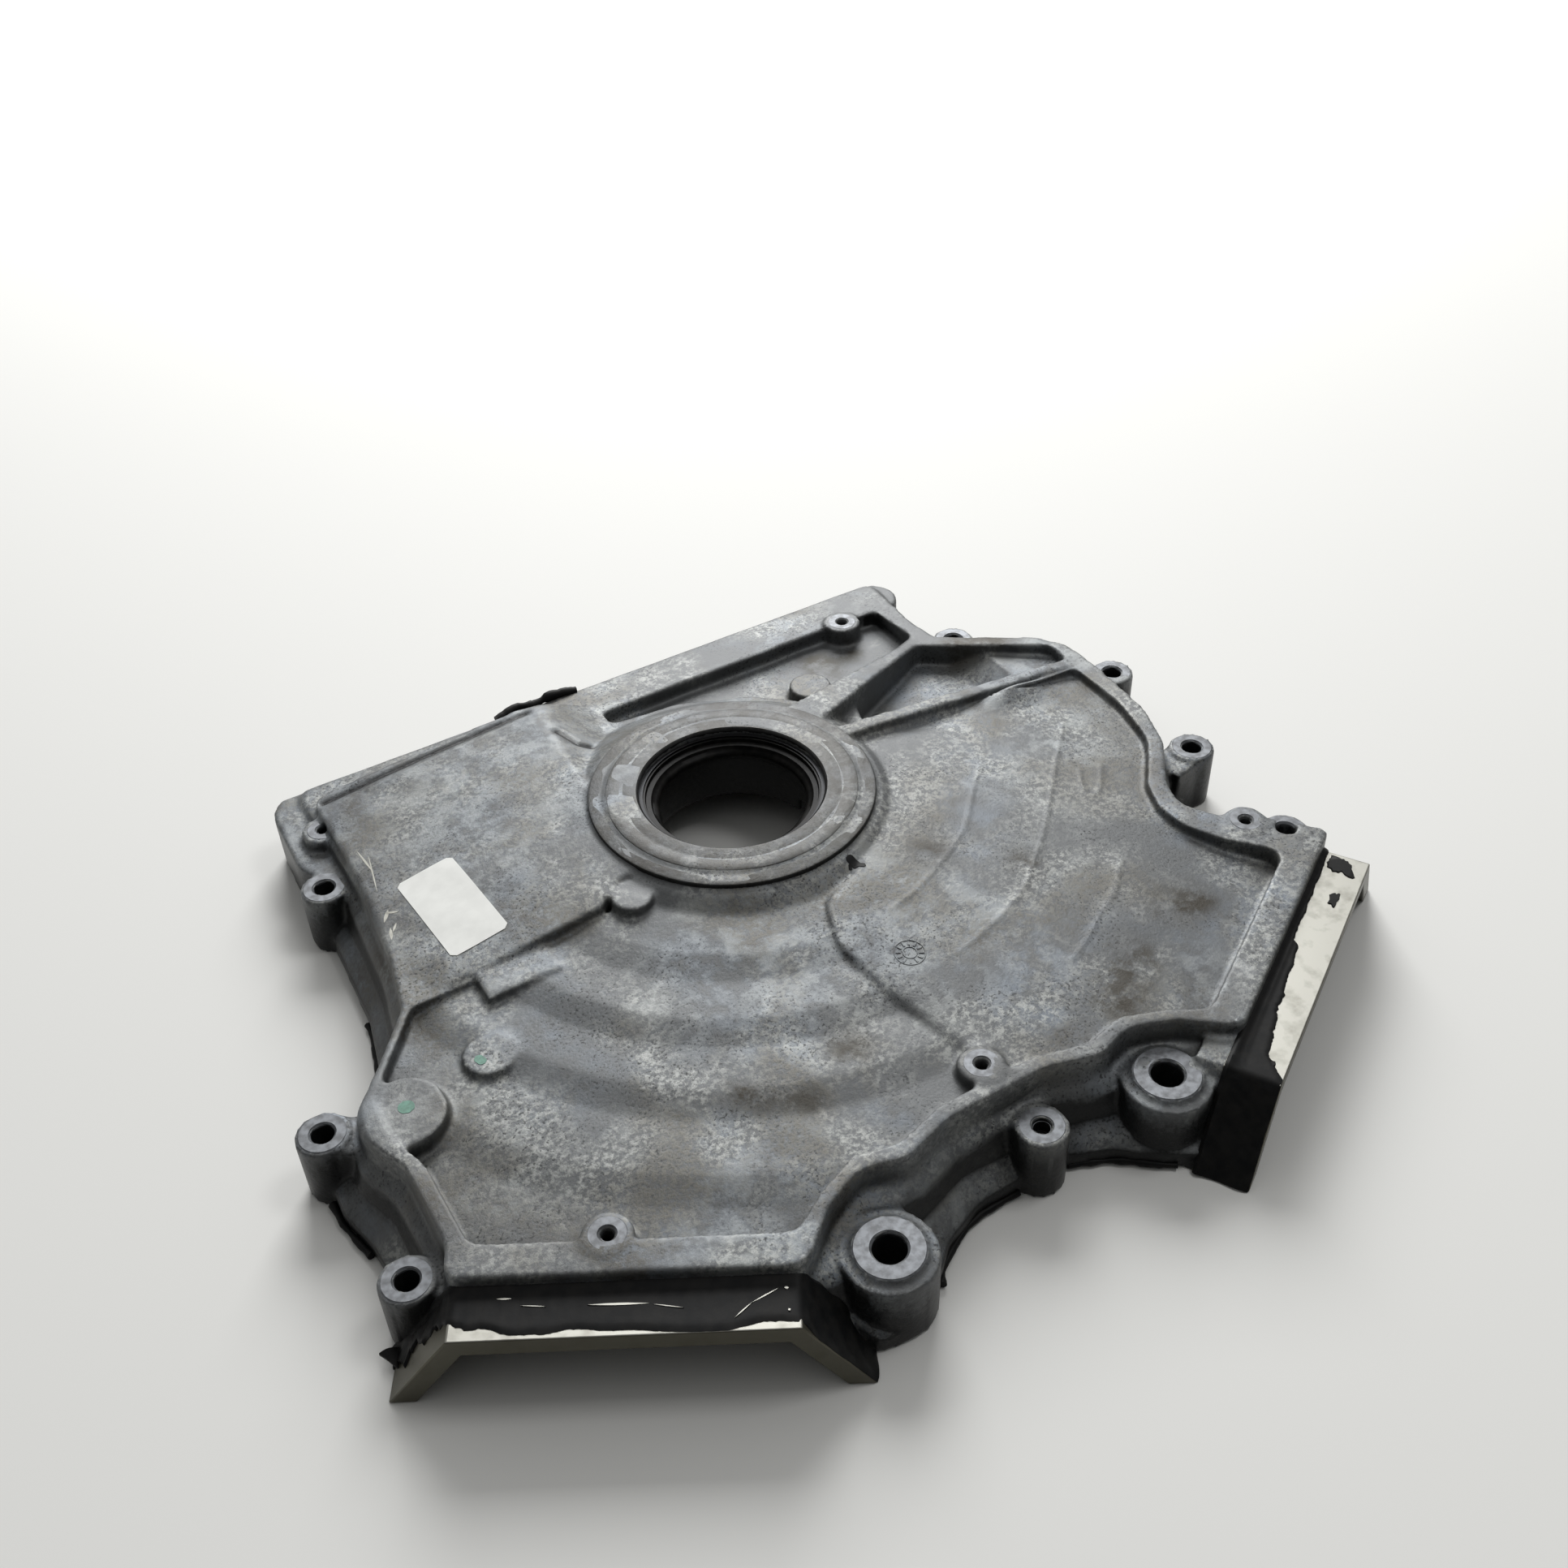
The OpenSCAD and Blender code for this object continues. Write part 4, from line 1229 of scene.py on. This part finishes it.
def lip_wave(k, angle):
    if k not in LIP_POINTS:
        return 0.0
    return LIP_SAG * max(0.0, math.sin(2 * angle + 0.7)) + LIP_RIPPLE * math.sin(5 * angle) ** 3


lip = lathe("seal_lip_rubber", LIP_PROFILE, LIP_STEPS, finish["nitrile_rubber"], lip_wave)
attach(lip, "root")
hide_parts("seal_lip")
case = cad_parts["seal_case"]
case.data.materials.clear()
case.data.materials.append(finish["dull_steel"])
print("Lip", len(lip.data.polygons), "faces")

# %% [markdown]
# ## Sticker, paint marks and scuffs
# A blank paper sticker lies on the side field, two dabs of green paint mark the pads, the field's edge is
# scuffed bright, and black grease splashed below the ring. Thin things like these follow the metal under
# them, so each of their points is dropped onto the skin by a ray from above.


# %% Helpers that lay things on the skin
DROP_FROM = 100.0
SHEET_BED = 0.02
SCUFF_LIFTS = (-0.1, 0.1)


def drop(x, y):
    """Point of the skin under a place of the plan, and its normal."""
    hit, normal, _, _ = skin_tree.ray_cast(Vector((x, y, DROP_FROM)) * MM, Vector((0, 0, -1)))
    return hit / MM, normal


def on_skin(x, y, layer):
    return (x, y, drop(x, y)[0].z + SCUFF_LIFTS[layer])


def laid_sheet(centre, half, corner, tilt, thickness, cells):
    """A closed rounded rectangle that lies on the skin."""
    cols, rows = cells
    grids = []
    for lift in (thickness, SHEET_BED):
        grid = []
        for v in np.linspace(-half[1], half[1], rows + 1):
            inset = max(0.0, abs(v) - (half[1] - corner))
            width = half[0] - corner + math.sqrt(max(0.0, corner**2 - inset**2))
            row = []
            for u in np.linspace(-width, width, cols + 1):
                x = centre[0] + u * math.cos(tilt) - v * math.sin(tilt)
                y = centre[1] + u * math.sin(tilt) + v * math.cos(tilt)
                row.append((x, y, drop(x, y)[0].z + lift))
            grid.append(row)
        grids.append(grid)
    return closed_grid(*grids)


# %% Sticker, dabs, scuffs and splash
# Laid sheets: centre, half size, corner radius, tilt, thickness and cells
STICKER = ((124.5, -7.6), (12.5, 26.0), 2.0, math.radians(3.5), 0.28, (14, 28))
DABS = (
    ((177, 76), (3.0, 3.0), 2.95, 0.0, 0.14, (8, 8)),
    ((146, 69), (1.8, 2.6), 1.75, 0.3, 0.14, (8, 8)),
)
SPLASHES = (
    ((-19.3, 62.8), (1.9, 3.0), 1.8, 0.35, 0.25, (8, 12)),
    ((-21.4, 65.4), (1.0, 2.0), 0.95, 0.8, 0.25, (6, 8)),
    ((-17.0, 64.4), (0.7, 1.2), 0.65, -0.5, 0.2, (6, 8)),
)
# Scuffs: from, to and width
SCUFFS = (
    ((144, -64), (143, -46), 0.9),
    ((141, -58), (146, -34), 0.6),
    ((146, -22), (150, -16), 1.6),
    ((143, -18), (148, -21), 1.2),
    ((149, -12), (151, -5), 1.3),
    ((146, -13), (149, -9), 1.0),
)
for name, parts, material in (
    ("blank_sticker", [laid_sheet(*STICKER)], finish["coated_paper"]),
    ("green_dabs", [laid_sheet(*dab) for dab in DABS], finish["green_paint"]),
    ("bright_scuffs", [sliver((a, b), width, on_skin) for a, b, width in SCUFFS], milled_aluminium),
    ("grease_splash", [laid_sheet(*splash) for splash in SPLASHES], finish["silicone_sealant"]),
):
    piece = closed_piece(name, *merged(parts), material)
    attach(piece, "root")
    print(name, len(piece.data.polygons), "faces")

# %% [markdown]
# ## The casting-date ring
# Foundries press a small dial into the die to date their castings. Here it is only the dial: a ring with
# plain ticks. The ticks repeat round a circle, so Geometry Nodes place one bar at each step and turn it to
# point outwards. The finished mesh is then laid on the sloping panel.

# %% Date ring
DIAL_PLACE = (-12, 113)
DIAL_RADIUS = 6.0
DIAL_LINE = 0.3
DIAL_TICKS = 12
TICK_SIZE = (2.0, 0.7, 0.6)
# The two circles and the ring of ticks, as shares of the dial's radius
CIRCLE_SHARES = (1.0, 0.46)
TICK_SHARE = 0.74

ring_tree, ring_in, start = tree_with(
    "date_ring",
    [
        ("Radius", "NodeSocketFloat"),
        ("Ticks", "NodeSocketInt"),
        ("Line", "NodeSocketFloat"),
        ("Finish", "NodeSocketMaterial"),
    ],
)
wire = add(ring_tree, CIRCLE, {"Resolution": 6, "Radius": start["Line"]})
joined = ring_tree.nodes.new("GeometryNodeJoinGeometry")
for share in CIRCLE_SHARES:
    size = add(ring_tree, MATH, {0: start["Radius"], 1: share}, operation="MULTIPLY")
    circle = add(ring_tree, CIRCLE, {"Resolution": 40, "Radius": size})
    ring_tree.links.new(add(ring_tree, SWEEP, {"Curve": circle, "Profile Curve": wire}), joined.inputs[0])
size = add(ring_tree, MATH, {0: start["Radius"], 1: TICK_SHARE}, operation="MULTIPLY")
stations = add(ring_tree, "GeometryNodeMeshCircle", {"Vertices": start["Ticks"], "Radius": size})
position = add(ring_tree, "GeometryNodeInputPosition")
outward = add(ring_tree, "FunctionNodeAlignRotationToVector", {"Vector": position}, axis="X")
bar = add(ring_tree, "GeometryNodeMeshCube", {"Size": [c * MM for c in TICK_SIZE]})
ticks = add(ring_tree, INSTANCES, {"Points": stations, "Instance": bar, "Rotation": outward})
ring_tree.links.new(ticks, joined.inputs[0])
close_tree(ring_tree, joined.outputs[0], start["Finish"])

values = {
    ring_in["Radius"]: DIAL_RADIUS * MM,
    ring_in["Ticks"]: DIAL_TICKS,
    ring_in["Line"]: DIAL_LINE * MM,
    ring_in["Finish"]: cast_aluminium,
}
date_ring = run_tree(wire_object("date_ring", [(0, 0, 0)]), ring_tree, values)
spot, normal = drop(*DIAL_PLACE)
lay = normal.to_track_quat("Z", "Y").to_matrix().to_4x4()
date_ring.data.transform(Matrix.Translation(spot * MM) @ lay)
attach(date_ring, "root")
print("Date ring", len(date_ring.data.polygons), "faces")
